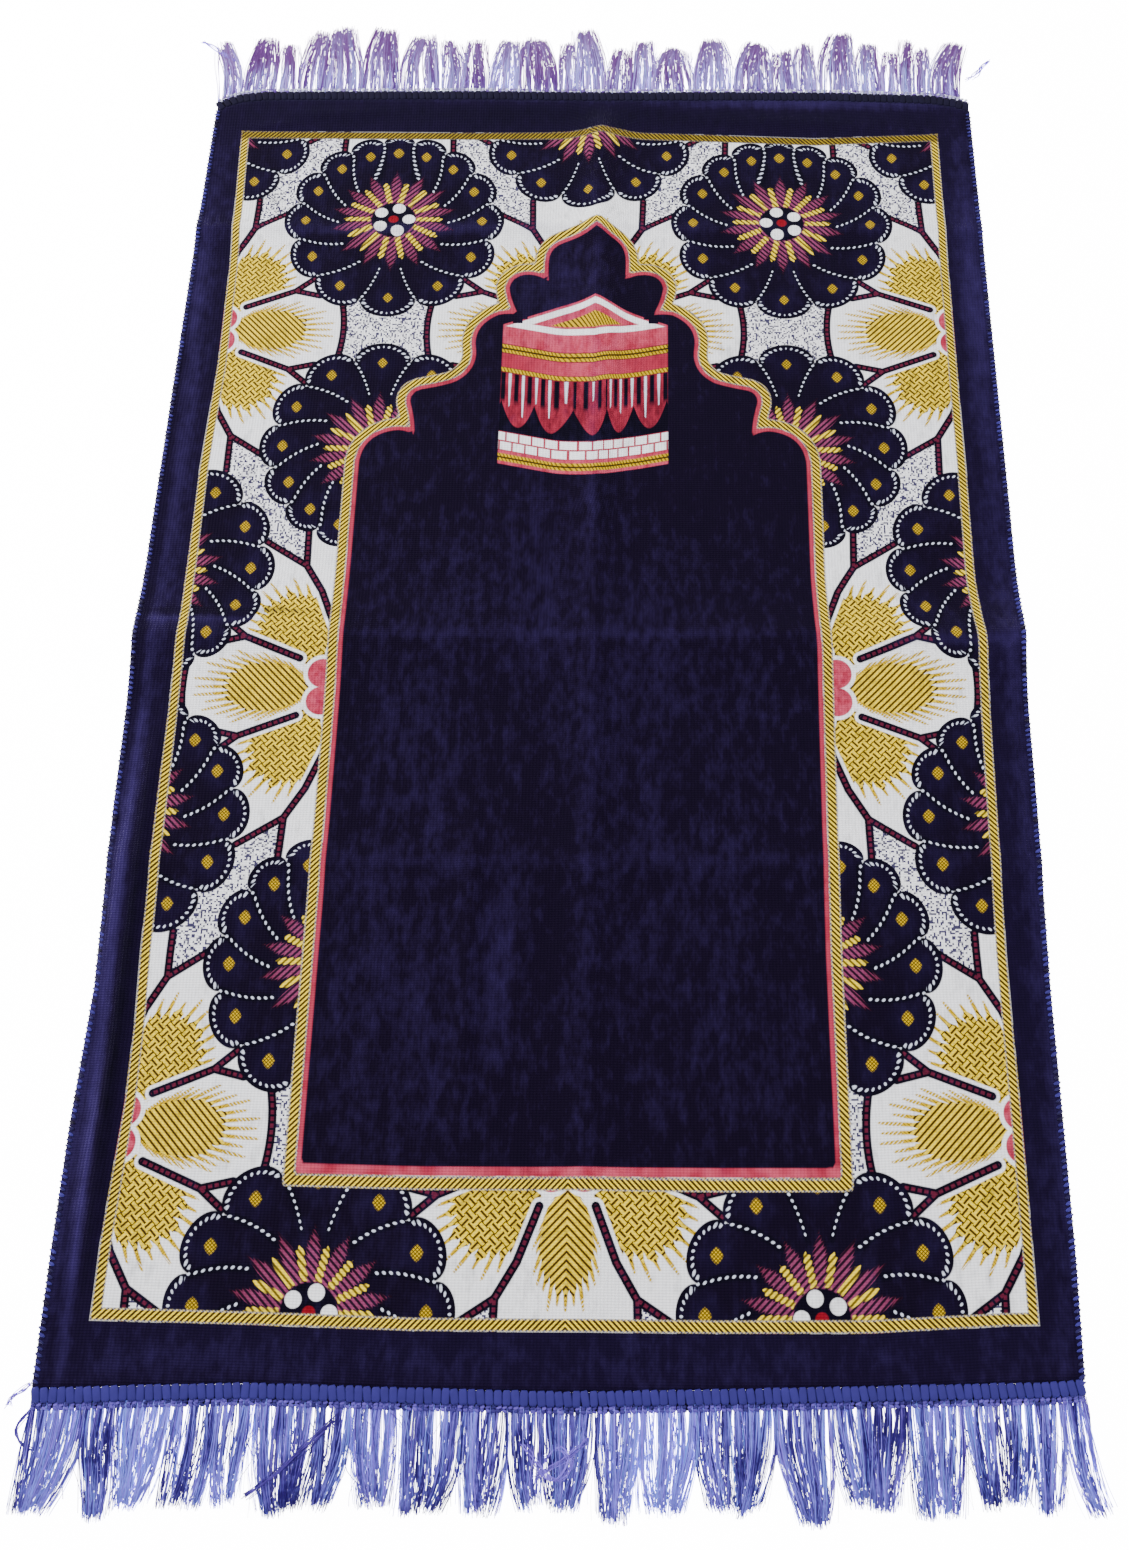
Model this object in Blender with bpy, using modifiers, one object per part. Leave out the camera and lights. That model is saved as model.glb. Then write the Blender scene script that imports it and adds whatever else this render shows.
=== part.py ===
"""Prayer rug laid out flat: a pile cloth between two fringed headings.

Units are metres. X runs across the rug, Y runs along it towards the far end, and Z is up.
The origin lies on the floor under the middle of the rug.
"""

import random

import bmesh
import bpy

# Driving dimensions
RUG_WIDTH = 0.684
RUG_LENGTH = 1.100  # over both headings, without the fringe
CLOTH_THICKNESS = 0.003
HEADING_WIDTH = 0.012
HEADING_THICKNESS = 0.0022
PIECE_GAP = 0.0003  # left between the cloth's end and a heading
FLAT_CELL = 0.060  # widest cell where the cloth lies flat
CLOSEST_LINES = 0.004  # grid lines nearer to each other than this become one
SIDE_CELL = 0.012  # least width of the cell beside a long edge
END_SHIFT_LENGTH = 0.150  # the cloth's rows follow the shape of an end over this length

# Fringe
LOCKS_PER_END = 96
LOCK_PITCH = RUG_WIDTH / LOCKS_PER_END
LOCK_ROOT_WIDTH = 0.0044
CLUMP_SIZES = (2, 3, 3, 4, 5)  # locks that fall together, drawn at random
CLUMP_GATHER = 0.42  # how far a clump's tips draw together
CLUMP_LEAN = 0.007  # most that a clump leans to one side
CORNER_LEAN = 0.010  # outward lean of the clumps at the corners
LOCK_SCATTER = 0.004  # most that one lock is longer or shorter than its clump

# Seen from above, the long edges: how far each stands in from half the rug's width
SIDE_EDGES = (
    # along, left_in, right_in
    (-0.550, 0.000, 0.006),
    (-0.453, 0.000, 0.004),
    (-0.370, 0.001, 0.004),
    (-0.275, 0.005, 0.004),
    (-0.140, 0.001, 0.001),
    (0.000, 0.000, 0.000),
    (0.120, 0.001, 0.000),
    (0.400, 0.005, 0.001),
    (0.550, 0.008, 0.002),
)

# The two ends: how far each stands in from half the rug's length, with the far corners rounded off
END_EDGES = (
    # across in lock pitches, near_in, far_in
    (-48, 0.000, 0.021),
    (-46, 0.000, 0.011),
    (-44, 0.000, 0.005),
    (-41, 0.001, 0.002),
    (-29, 0.003, 0.001),
    (-13, 0.000, 0.000),
    (0, -0.002, 0.001),
    (17, 0.000, 0.000),
    (30, 0.002, 0.000),
    (43, 0.004, 0.003),
    (46, 0.005, 0.007),
    (48, 0.007, 0.012),
)

# Low ridges left by the way the rug was folded, and ripples beside its left edge and in its field.
# "across" ridges run along X and "along" ridges run along Y, from start to stop.
CLOTH_END = RUG_LENGTH / 2 - HEADING_WIDTH - PIECE_GAP
RIDGES = (
    # runs, place, half_width, start, stop, start_height, stop_height, fades
    ("across", 0.000, 0.070, -0.343, 0.010, 0.008, 0.003, False),
    ("across", 0.000, 0.070, 0.010, 0.343, 0.003, 0.013, False),
    ("across", 0.392, 0.030, -0.343, 0.343, 0.003, 0.002, False),
    ("across", -0.181, 0.034, -0.343, 0.343, 0.002, 0.002, False),
    ("along", 0.010, 0.038, -CLOTH_END, CLOTH_END, 0.003, 0.008, True),
    ("along", -0.316, 0.014, -0.480, -0.060, 0.004, 0.004, True),
    ("along", -0.075, 0.018, -0.400, -0.120, 0.003, 0.003, True),
)
RIDGE_FADE = 0.050  # length over which a fading ridge dies out at its start and stop
RIDGE_LINES = (-1.0, -0.6, -0.25, 0.0, 0.25, 0.6, 1.0)  # grid lines over a ridge, in half widths

# Each end's fringe
ENDS = (
    # name, facing, lock_length, clump_scatter, seed
    ("fringe_near", -1, 0.062, 0.007, 5),
    ("fringe_far", 1, 0.062, 0.012, 12),
)

# A lock's sections from its root to its tip, as shares of its length and its root's width
LOCK_SECTIONS = (
    # run, width, thickness
    (0.10, 0.96, 0.0020),
    (0.38, 1.00, 0.0017),
    (0.72, 0.80, 0.0013),
    (1.00, 0.34, 0.0008),
)


def between(table, place, column):
    """A column's value at a place, on straight lines between the table's rows."""
    if place <= table[0][0]:
        return table[0][column]
    for low, high in zip(table, table[1:]):
        if place <= high[0]:
            share = (place - low[0]) / (high[0] - low[0])
            return low[column] + share * (high[column] - low[column])
    return table[-1][column]


def smooth(share):
    """Ease from 0 to 1 with no slope at either end."""
    share = min(max(share, 0.0), 1.0)
    return share * share * (3.0 - 2.0 * share)


def side_edge(y, side):
    """Place of the left (-1) or right (1) long edge."""
    return side * (RUG_WIDTH / 2 - between(SIDE_EDGES, y, 1 if side < 0 else 2))


def heading_edge(x, facing):
    """Outer edge of the near (-1) or far (1) heading."""
    inset = between(END_EDGES, x / LOCK_PITCH, 1 if facing < 0 else 2)
    return facing * (RUG_LENGTH / 2 - inset)


def ridge_height(x, y):
    """How far the underside of the cloth stands off the floor."""
    height = 0.0
    for runs, place, half_width, start, stop, start_height, stop_height, fades in RIDGES:
        across, along = (y, x) if runs == "across" else (x, y)
        offset = abs(across - place) / half_width
        if offset >= 1.0 or not start <= along < stop:
            continue
        crest = start_height + (stop_height - start_height) * (along - start) / (stop - start)
        if fades:
            crest *= smooth((along - start) / RIDGE_FADE) * smooth((stop - along) / RIDGE_FADE)
        height += crest * (1.0 - offset) ** 2
    return height


def grid_lines(runs, half_length, kept_lines):
    """Places of the grid lines that run one way: close together over ridges, wide apart elsewhere."""
    lines = set()
    for ridge_runs, place, half_width, start, stop, _, _, fades in RIDGES:
        if ridge_runs == runs:
            lines.update(place + step * half_width for step in RIDGE_LINES)
        elif fades:
            lines.update((start, start + RIDGE_FADE / 2, start + RIDGE_FADE))
            lines.update((stop - RIDGE_FADE, stop - RIDGE_FADE / 2, stop))
    inner = [line for line in kept_lines if abs(line) < half_length - SIDE_CELL]
    for line in sorted(lines):
        if abs(line) < half_length - SIDE_CELL:
            if all(abs(line - other) > CLOSEST_LINES for other in inner):
                inner.append(line)
    spaced = [-half_length]
    for line in sorted(inner) + [half_length]:
        gap = line - spaced[-1]
        cells = int(gap / FLAT_CELL) + 1
        spaced += [line - gap * (cells - 1 - cell) / cells for cell in range(cells)]
    return spaced


def new_object(name, bm, collection, material):
    mesh = bpy.data.meshes.new(name)
    bm.normal_update()
    bm.to_mesh(mesh)
    bm.free()
    mesh.materials.append(material)
    obj = bpy.data.objects.new(name, mesh)
    collection.objects.link(obj)
    return obj


def make_material(name, colour, roughness, metallic=0.0):
    material = bpy.data.materials.new(name)
    material.use_nodes = True
    shader = material.node_tree.nodes["Principled BSDF"]
    shader.inputs["Base Color"].default_value = (*colour, 1.0)
    shader.inputs["Roughness"].default_value = roughness
    shader.inputs["Metallic"].default_value = metallic
    return material


def make_cloth(collection, material):
    """The pile cloth: one sheet drawn over its ridges and thickened upwards."""
    columns = grid_lines("along", RUG_WIDTH / 2, [row[0] * LOCK_PITCH for row in END_EDGES])
    rows = grid_lines("across", CLOTH_END, [])
    bm = bmesh.new()
    bmesh.ops.create_grid(bm, x_segments=len(columns) - 1, y_segments=len(rows) - 1, size=0.5)
    for vert in bm.verts:
        column = round((vert.co.x + 0.5) * (len(columns) - 1))
        x, y = columns[column], rows[round((vert.co.y + 0.5) * (len(rows) - 1))]
        if column in (0, len(columns) - 1):
            x = side_edge(y, 1 if column else -1)
        facing = 1 if y > 0 else -1
        end_shift = heading_edge(x, facing) - facing * RUG_LENGTH / 2
        y += end_shift * smooth((abs(y) - CLOTH_END + END_SHIFT_LENGTH) / END_SHIFT_LENGTH)
        vert.co = (x, y, ridge_height(x, y))
    cloth = new_object("rug_cloth", bm, collection, material)
    solidify = cloth.modifiers.new("thickness", "SOLIDIFY")
    solidify.thickness = CLOTH_THICKNESS
    solidify.offset = 1.0


def draw_clumps(seed, lock_length, clump_scatter):
    """Share the locks out into clumps. Each lock gets its sideways sweep at the tip and its length."""
    draw = random.Random(seed)
    locks = []
    while len(locks) < LOCKS_PER_END:
        first = len(locks)
        count = min(draw.choice(CLUMP_SIZES), LOCKS_PER_END - first)
        lean = draw.uniform(-CLUMP_LEAN, CLUMP_LEAN)
        if first == 0:
            lean = -CORNER_LEAN
        elif first + count == LOCKS_PER_END:
            lean = CORNER_LEAN
        clump_length = lock_length + draw.uniform(-clump_scatter, clump_scatter)
        for lock in range(count):
            gather = ((count - 1) / 2 - lock) * LOCK_PITCH * CLUMP_GATHER
            length = clump_length + draw.uniform(-LOCK_SCATTER, LOCK_SCATTER)
            locks.append((gather + lean, length))
    return locks


def make_strip(facing, borders):
    """The heading: a flat strip in cells, one cell between each two borders."""
    bm = bmesh.new()
    bmesh.ops.create_grid(bm, x_segments=len(borders) - 1, y_segments=1, size=0.5)
    for vert in bm.verts:
        x = borders[round((vert.co.x + 0.5) * (len(borders) - 1))]
        inward = 0.0 if vert.co.y * facing > 0 else HEADING_WIDTH
        vert.co = (x, heading_edge(x, facing) - facing * inward, 0.0)
    raised = bmesh.ops.extrude_face_region(bm, geom=list(bm.faces), use_keep_orig=True)["geom"]
    for item in raised:
        if isinstance(item, bmesh.types.BMVert):
            item.co.z = HEADING_THICKNESS
    bmesh.ops.recalc_face_normals(bm, faces=bm.faces)
    return bm


def make_fringe(collection, material, name, facing, lock_length, clump_scatter, seed):
    """A heading strip whose outer side carries the locks, all one body."""
    locks = draw_clumps(seed, lock_length, clump_scatter)
    left, right = (side_edge(facing * RUG_LENGTH / 2, side) for side in (-1, 1))
    roots = {}
    for lock, (sweep, length) in enumerate(locks):
        middle = (lock + 0.5) * LOCK_PITCH - RUG_WIDTH / 2
        if left + LOCK_ROOT_WIDTH / 2 < middle < right - LOCK_ROOT_WIDTH / 2:
            roots[middle] = (sweep, length)
    bends = [row[0] * LOCK_PITCH for row in END_EDGES]
    borders = [left, right] + [bend for bend in bends if left + PIECE_GAP < bend < right - PIECE_GAP]
    for middle in roots:
        borders += [middle - LOCK_ROOT_WIDTH / 2, middle + LOCK_ROOT_WIDTH / 2]
    bm = make_strip(facing, sorted(borders))

    outer_sides = {}
    for face in bm.faces:
        centre = face.calc_center_median()
        if abs(face.normal.z) < 0.5 and abs(centre.y - heading_edge(centre.x, facing)) < PIECE_GAP:
            outer_sides.update(
                {middle: face for middle in roots if abs(centre.x - middle) < LOCK_ROOT_WIDTH / 4}
            )
    for middle, face in outer_sides.items():
        sweep, length = roots[middle]
        for run, width, thickness in LOCK_SECTIONS:
            face = bmesh.ops.extrude_discrete_faces(bm, faces=[face])["faces"][0]
            centre = face.calc_center_median()
            for vert in face.verts:
                side = 1 if vert.co.x > centre.x else -1
                vert.co.z = thickness if vert.co.z > centre.z else 0.0
                vert.co.x = middle + sweep * run * run + side * width * LOCK_ROOT_WIDTH / 2
                vert.co.y = heading_edge(middle, facing) + facing * length * run
    new_object(name, bm, collection, material)


def main():
    for obj in list(bpy.data.objects):
        bpy.data.objects.remove(obj, do_unlink=True)
    collection = bpy.data.collections.new("prayer_rug")
    bpy.context.scene.collection.children.link(collection)
    make_cloth(collection, make_material("navy_pile", (0.017, 0.011, 0.055), 0.85))
    yarn = make_material("lilac_yarn", (0.22, 0.19, 0.62), 0.45)
    for end in ENDS:
        make_fringe(collection, yarn, *end)


main()
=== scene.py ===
"""Prayer rug with a niche field, a flower border and silky fringes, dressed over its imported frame.

Lengths are metres, apart from the tables headed in millimetres and the woven pattern, which is
laid out in millimetres of cloth.
X runs across the rug, Y along it towards the top of the niche, and Z is up.
"""

import math
import random

import bmesh
import bpy
import numpy as np
from bpy.props import FloatProperty, FloatVectorProperty, IntProperty, PointerProperty
from bpy.types import Operator, Panel, PropertyGroup
from mathutils import Matrix, Vector


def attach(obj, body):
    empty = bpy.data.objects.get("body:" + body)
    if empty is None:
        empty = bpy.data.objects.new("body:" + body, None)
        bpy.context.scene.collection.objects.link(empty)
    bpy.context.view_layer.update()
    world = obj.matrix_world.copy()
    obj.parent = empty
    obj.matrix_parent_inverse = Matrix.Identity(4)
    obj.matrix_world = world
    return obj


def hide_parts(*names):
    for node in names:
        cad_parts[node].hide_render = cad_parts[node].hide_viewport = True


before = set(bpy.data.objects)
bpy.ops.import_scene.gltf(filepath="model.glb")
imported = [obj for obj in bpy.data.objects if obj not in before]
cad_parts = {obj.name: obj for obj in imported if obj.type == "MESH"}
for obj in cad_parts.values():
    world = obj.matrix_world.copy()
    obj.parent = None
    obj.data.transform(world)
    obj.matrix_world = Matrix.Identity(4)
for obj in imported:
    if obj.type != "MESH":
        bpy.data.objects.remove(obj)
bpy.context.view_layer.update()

bl_info = {
    "name": "Prayer Rug",
    "version": (1, 0, 0),
    "blender": (4, 5, 0),
    "location": "View3D > Sidebar > Prayer Rug",
    "description": "Builds a woven velvet prayer rug with a flower border and fringed ends",
    "category": "Add Mesh",
}

# ---- sizes shared with the frame's solids

RUG_WIDTH = 0.684
RUG_LENGTH = 1.100
CLOTH_THICKNESS = 0.003
HEADING_WIDTH = 0.012
PIECE_GAP = 0.0003
CLOTH_END = RUG_LENGTH / 2 - HEADING_WIDTH - PIECE_GAP
END_SHIFT_LENGTH = 0.150
SIDE_EASE_LENGTH = 0.080  # the cloth's columns follow the shape of a long edge over this width

SIDE_EDGES = (
    # along, left_in, right_in
    (-0.550, 0.000, 0.006),
    (-0.453, 0.000, 0.004),
    (-0.370, 0.001, 0.004),
    (-0.275, 0.005, 0.004),
    (-0.140, 0.001, 0.001),
    (0.000, 0.000, 0.000),
    (0.120, 0.001, 0.000),
    (0.400, 0.005, 0.001),
    (0.550, 0.008, 0.002),
)

LOCKS_PER_END = 96
LOCK_PITCH = RUG_WIDTH / LOCKS_PER_END
LOCK_ROOT_WIDTH = 0.0044
CLUMP_SIZES = (2, 3, 3, 4, 5)
CLUMP_GATHER = 0.42
CLUMP_LEAN = 0.007
CORNER_LEAN = 0.010
LOCK_SCATTER = 0.004

END_EDGES = (
    # across in lock pitches, near_in, far_in
    (-48, 0.000, 0.021),
    (-46, 0.000, 0.011),
    (-44, 0.000, 0.005),
    (-41, 0.001, 0.002),
    (-29, 0.003, 0.001),
    (-13, 0.000, 0.000),
    (0, -0.002, 0.001),
    (17, 0.000, 0.000),
    (30, 0.002, 0.000),
    (43, 0.004, 0.003),
    (46, 0.005, 0.007),
    (48, 0.007, 0.012),
)

RIDGES = (
    # runs, place, half_width, start, stop, start_height, stop_height, fades
    ("across", 0.000, 0.070, -0.343, 0.010, 0.008, 0.003, False),
    ("across", 0.000, 0.070, 0.010, 0.343, 0.003, 0.013, False),
    ("across", 0.392, 0.030, -0.343, 0.343, 0.003, 0.002, False),
    ("across", -0.181, 0.034, -0.343, 0.343, 0.002, 0.002, False),
    ("along", 0.010, 0.038, -CLOTH_END, CLOTH_END, 0.003, 0.008, True),
    ("along", -0.316, 0.014, -0.480, -0.060, 0.004, 0.004, True),
    ("along", -0.075, 0.018, -0.400, -0.120, 0.003, 0.003, True),
)
RIDGE_FADE = 0.050
CREST_ROUNDING = 0.05  # share of a ridge's half width over which its crest is rounded off

ENDS = {
    # facing, lock_length, clump_scatter, seed
    "fringe_near": (-1, 0.062, 0.007, 5),
    "fringe_far": (1, 0.062, 0.012, 12),
}

# ---- small creases, and marks of painted sheen and painted shade on the pile, in millimetres

CREASES = (
    # across, along, half_length, half_width, height, turn in degrees from the length of the rug
    (-37, -243, 60, 6, 1.6, 3),
    (-52, -330, 55, 6, 1.4, -2),
    (-26, -215, 38, 5, 1, 6),
    (-100, -300, 85, 10, 1.2, 2),
    (-139, -270, 100, 9, 1, -1),
    (-329, -200, 120, 6, 2.2, 1),
    (-326, -395, 90, 6, 2, 3),
    (327, -120, 110, 8, 1.2, -1),
    (20, 250, 90, 7, 1.8, 1),
    (8, 140, 50, 6, 1, -4),
    (-265, 16, 90, 4, 1.4, 88),
    (285, -5, 75, 4, 1.2, 91),
    (-280, 506, 30, 4, 1.6, 84),
    (-230, 520, 80, 6, 1.2, 88),
    (180, 512, 120, 9, 1.4, 92),
    (60, -520, 150, 8, 1, 89),
    (-200, -515, 110, 8, 1, 91),
)

# Painted sheen and painted shade on the velvet pile: its brushed patches, the light and dark sides
# of its folds and creases, and a darker far border
SHEEN_AND_SHADE_MARKS = (
    # across, along, half_width, half_length, strength: painted sheen above 0, painted shade below 0
    (-150, 20, 75, 150, 0.10),
    (-60, 70, 50, 90, 0.20),
    (-125, -120, 45, 70, 0.25),
    (-20, -20, 35, 80, 0.30),
    (-120, -300, 60, 120, 0.45),
    (-50, -250, 10, 80, 0.60),
    (-30, 350, 35, 50, 0.60),
    (-20, 300, 22, 30, 0.60),
    (60, 20, 60, 130, 0.25),
    (100, -220, 70, 140, 0.20),
    (110, 170, 70, 80, -0.35),
    (-325, 150, 8, 250, 0.90),
    (-330, 330, 6, 90, 0.80),
    (-330, -180, 5, 130, 2.70),
    (-326, -400, 4, 130, 2.70),
    (-338, -330, 4, 160, 1.50),
    (-316, -290, 5, 160, -2.00),
    (-335, 50, 3, 200, -1.00),
    (329, 330, 12, 150, 1.40),
    (331, -50, 8, 220, 0.90),
    (336, -350, 5, 150, 0.90),
    (0, 520, 330, 20, -1.10),
    (190, 533, 140, 8, 1.90),
    (-90, 535, 120, 6, 0.70),
    (0, 392, 340, 5, 0.80),
    (-180, 388, 90, 4, 1.40),
    (-290, 12, 60, 4, 1.80),
    (-260, 19, 80, 3, -1.60),
    (290, -6, 60, 4, 1.40),
    (0, 1, 280, 4, 0.50),
    (0, -181, 330, 5, 0.35),
    (8, 250, 5, 160, 0.90),
    (10, -200, 4, 220, 0.30),
    (-240, -520, 80, 12, 0.40),
    (20, -524, 240, 9, 0.25),
)

# ---- the woven layout, in millimetres of cloth

FRAME_HALF_WIDTH = 310.0
FRAME_HALF_LENGTH = 499.7
LAYOUT_CENTRE = 2.0  # the layout's middle lies this far along from the middle of the cloth

# How far the woven frame wanders in from its straight sides, from near to far
FRAME_DRIFT_SIDES = (
    # along, left, right
    (-500, -0.6, 0.0),
    (-450, 0.2, 0.0),
    (-356, 4.8, 0.2),
    (-300, 4.6, 0.8),
    (-250, 2.6, 1.0),
    (-150, 0.9, -1.0),
    (-50, 0.5, -2.8),
    (-12, 1.2, -2.8),
    (12, 2.0, -1.0),
    (50, 0.9, 0.6),
    (150, 1.0, 0.0),
    (200, 3.0, 0.4),
    (250, 5.3, 0.5),
    (350, 4.8, 0.5),
    (450, 1.7, 0.2),
    (500, 0.6, 0.0),
)
DRIFT_REACH = (110.0, 310.0)  # from the left and from the right side of the frame inwards
# How far the frame's ends stand out from their straight lines, from left to right
FRAME_DRIFT_ENDS = (
    # across, near, far
    (-310, -1.2, -2.5),
    (-200, 1.6, -3.0),
    (-100, 5.0, -3.2),
    (-20, 5.4, -2.2),
    (14, 5.5, 0.6),
    (48, 5.9, -2.4),
    (100, 6.4, -4.2),
    (200, 6.0, -8.2),
    (290, 1.3, -3.4),
    (310, 1.0, -2.5),
)
END_DRIFT_REACH = 260.0  # from the frame's end inwards
# The fold along the middle pushes the design beside it to the right, in the upper half
FOLD_DRIFT = (6.0, 32.0, 8.0)  # middle, half width, most that it shifts
FOLD_DRIFT_ENDS = (100.0, 425.0, 30.0)  # from, to, and the length over which it comes and goes

# The niche's inner line from the middle of its foot to its point, right half.
# Each row is the end of a stretch and how far that stretch bows out, as a share of its chord.
NICHE_LINE = (
    # across, along, bow
    (0.0, -394.2, 0.0),
    (181.0, -394.2, 0.0),
    (181.0, 158.0, 0.0),
    (152.5, 187.5, 0.20),
    (137.5, 182.8, 0.08),
    (142.8, 214.0, -0.03),
    (134.0, 227.2, 0.22),
    (108.0, 234.0, -0.02),
    (91.0, 266.0, -0.16),
    (73.0, 302.7, 0.19),
    (56.8, 302.5, 0.05),
    (65.5, 330.0, 0.04),
    (50.0, 344.7, 0.21),
    (32.0, 336.7, 0.10),
    (32.6, 359.0, 0.02),
    (20.0, 378.0, 0.17),
    (0.0, 389.0, -0.03),
)
ARC_STEPS = 8
SIDE_PINK = 3.4  # width of the pink line beside the niche
FOOT_PINK = 7.4  # its width below the niche's foot
REDDER_FROM = -386.0  # above this, so beside the niche, the pink line is redder
ROPE_MARGIN = 9.0  # width of a rope with its soft edge

COLUMN_PITCH = 168.0
FAN_ROW = 286.2
ROW_PITCH = 329.4
ROSETTE_ROWS = (116.4, 229.0)  # from a fan's row to the rosettes on the even and the odd columns
HOUSE_HALF = 68.0
HOUSE_FOOT = 156.0

# Regions of the sheet that carry one finish each
FIELD_MARGIN = 5.0
BORDER_MARGIN = 5.0
HOUSE_REGION = (78.0, 132.0, 330.0)  # half width, near end, far end

CAMERA_PLACE = (0.0508, -0.5221, 1.0576)
CAMERA_TURN = math.radians(-0.481)
CAMERA_TILT = math.radians(90.0 - 68.83)
CAMERA_ROLL = math.radians(0.624)
CAMERA_LENS = 35.29
CAMERA_SHIFT = -0.0547

# ---- surfaces

FAR_ROPE_SHADE = 0.7  # painted shade on the frame's far rope, where its pile leans away from the light
PILE_SHEEN = 0.03
PILE_SHEEN_ROUGHNESS = 0.4
PILE_SPECULAR = 0.04
PILE_RELIEF = 0.00025
THREAD_RELIEF = 0.0001
THREAD_SPECULAR = 0.12
PILE_ROW = 0.9  # half the pitch of the pile's ribs, in millimetres
PILE_COLUMN = 1.2
BACK_ROW = 1.1  # half the pitch of the underside's weave, in millimetres
BACK_COLUMN = 1.4
FLOOR_COLOURS = ((0.80, 0.80, 0.81), (0.84, 0.84, 0.84))

# ---- threads and sewing

THREAD_FLOOR = 0.0003  # lowest that a thread lies
THREAD_TUCK = 0.004  # how far a thread starts inside its heading

# Share of the threads that each end has, and how far they spread, as shares of the fringe settings
END_FULLNESS = {"fringe_near": (1.0, 1.0), "fringe_far": (0.97, 0.92)}
DARK_SPANS = {
    # from, to across the rug, and how much darker the locks there are
    "fringe_near": (
        (-0.160, -0.140, 0.5),
        (-0.094, -0.082, 0.5),
        (-0.056, -0.046, 0.3),
        (-0.342, -0.330, 0.3),
    ),
    "fringe_far": ((-0.342, -0.325, 0.3),),
}

STRAND_WIDTH = 0.22  # share of a lock's half width over which one strand's threads lie
STRAND_SCATTER = 0.6  # how far threads leave their strand, as a share of the tips' scatter
STRAY_SHADE = 0.5  # how much darker stray threads are
STRAY_WAVE = 3.0  # how much more stray threads wave
STRAY_THICKNESS = 0.45
FLOOR_SHADE = 0.25  # painted shade: how much darker the lowest layer of threads is, lying under the others
SHADE = (0.68, 0.16, 0.38, 0.14)  # of a thread: mean, then its spread by clump, strand, thread
TINT = (0.4, 0.35)  # a thread's mean tint, and how it varies
DARK_PATCH_PLACES = (0.25, 1.05)  # where a clump's dark patch lies, as a share of its length
DARK_PATCH_DEPTHS = (-0.5, 1.0)  # a clump that draws less than 0 has none
DARK_PATCH_REACH = 0.28
LOCK_SWAY = 0.0022  # most that a whole clump bends aside
SWAY_TURN = 5.0  # radians of that bend over the thread
WAVES = (0.0001, 0.0007)  # of one thread
WAVE_TURNS = (4.0, 9.0)
LAYER_SINK = 0.55  # share of its height that a layer loses towards the tips
THREAD_TAPER = 0.3

TAPE_CELL = 0.004
TAPE_PROFILE = (
    # inset from the outer edge, height
    (0.01225, 0.0003),
    (0.01225, 0.0014),
    (0.0110, 0.0016),
    (0.0060, 0.0017),
    (0.0012, 0.0015),
    (0.0002, 0.0009),
    (0.0008, 0.0003),
)
PAD_LENGTH = 0.0100
PAD_LAP = 0.0012  # how far a pad reaches over the end of the cloth
PAD_HEIGHT = 0.0024
PAD_MIDDLE = 0.0024
PAD_ROUNDING = 0.16
PAD_SLANT = 0.10
CHAIN_INSET = 0.0014
CHAIN_HEIGHT = 0.0022
CHAIN_STITCH = (0.0030, 0.0020, 0.0012)
CHAIN_HALF = CHAIN_STITCH[1] * 0.55  # from the chain's middle to each row of stitches
CHAIN_SPLAY = 0.35
STITCH_ROUNDING = 0.28
OVERCAST_STITCH = (0.0052, 0.0022, 0.0010)
OVERCAST_SLANT = 0.45
OVERCAST_INSET = 0.0016
OVERCAST_HEIGHT = 0.0030
OVERCAST_TILT = 0.16
OVERCAST_ENDS = (0.004, 0.012)  # left free at the near and at the far end

WISP_POINTS = 14
WISP_RADIUS = 0.00035
WISP_LIFT = 0.0003
CROSSING = {
    # threads that cross an end's fringe at random, how far they run across it, and their shade
    "fringe_near": (150, 0.022, 0.10),
    "fringe_far": (70, 0.016, 0.75),
}
CROSSING_SIDE = 0.325  # crossing threads start this far from the middle at most
CROSSING_HEIGHTS = (0.0022, 0.0014)  # at the start, and what is lost by the end
WISPS = (
    # threads, spread in millimetres, shade, route in millimetres
    (10, 0.7, 0.25, (
        (-340, -549, 1), (-345, -555, 1), (-349, -562, 1),
        (-345, -570, 1), (-338, -574, 1), (-332, -573, 1),
    )),
    (8, 1.2, 0.7, ((-342, -535, 2), (-348, -538, 1), (-354, -543, 0.6), (-357, -548, 0.6))),
    (10, 0.7, 0.35, ((335, -543, 2), (337, -556, 1), (337, -570, 0.6), (339, -582, 0.6))),
    (10, 1.5, 0.7, ((-322, 582, 1), (-334, 590, 1), (-346, 600, 0.6), (-356, 606, 0.6))),
    (10, 1.5, 0.6, ((342, 566, 1), (350, 571, 1), (357, 580, 0.6), (363, 587, 0.6))),
    (14, 1.2, 0.12, ((-147, -556, 2), (-163, -572, 3), (-182, -588, 2), (-199, -601, 1))),
    (8, 1.5, 0.8, (
        (-24, -570, 2), (-14, -585, 2.4), (-2, -591, 2),
        (6, -580, 2.6), (-4, -572, 2), (-12, -582, 1.5),
    )),
    (8, 1.5, 0.6, ((15, -568, 2), (6, -576, 2.6), (-6, -583, 2), (-16, -590, 1.5))),
)

LAMPS = (
    # name, place, aimed at, side of the square, share of the lamp power
    ("key_lamp", (-1.9, 1.1, 1.1), (0.0, 0.0, 0.0), 1.0, 1.0),
    ("fill_lamp", (1.2, 0.6, 2.6), (0.0, 0.0, 0.0), 1.8, 0.6),
)


# ==== shapes


def between(table, place, column):
    """A column's value at a place, on straight lines between the table's rows."""
    return float(np.interp(place, [row[0] for row in table], [row[column] for row in table]))


def smooth(share):
    """Ease from 0 to 1 with no slope at either end."""
    share = min(max(share, 0.0), 1.0)
    return share * share * (3.0 - 2.0 * share)


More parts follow.
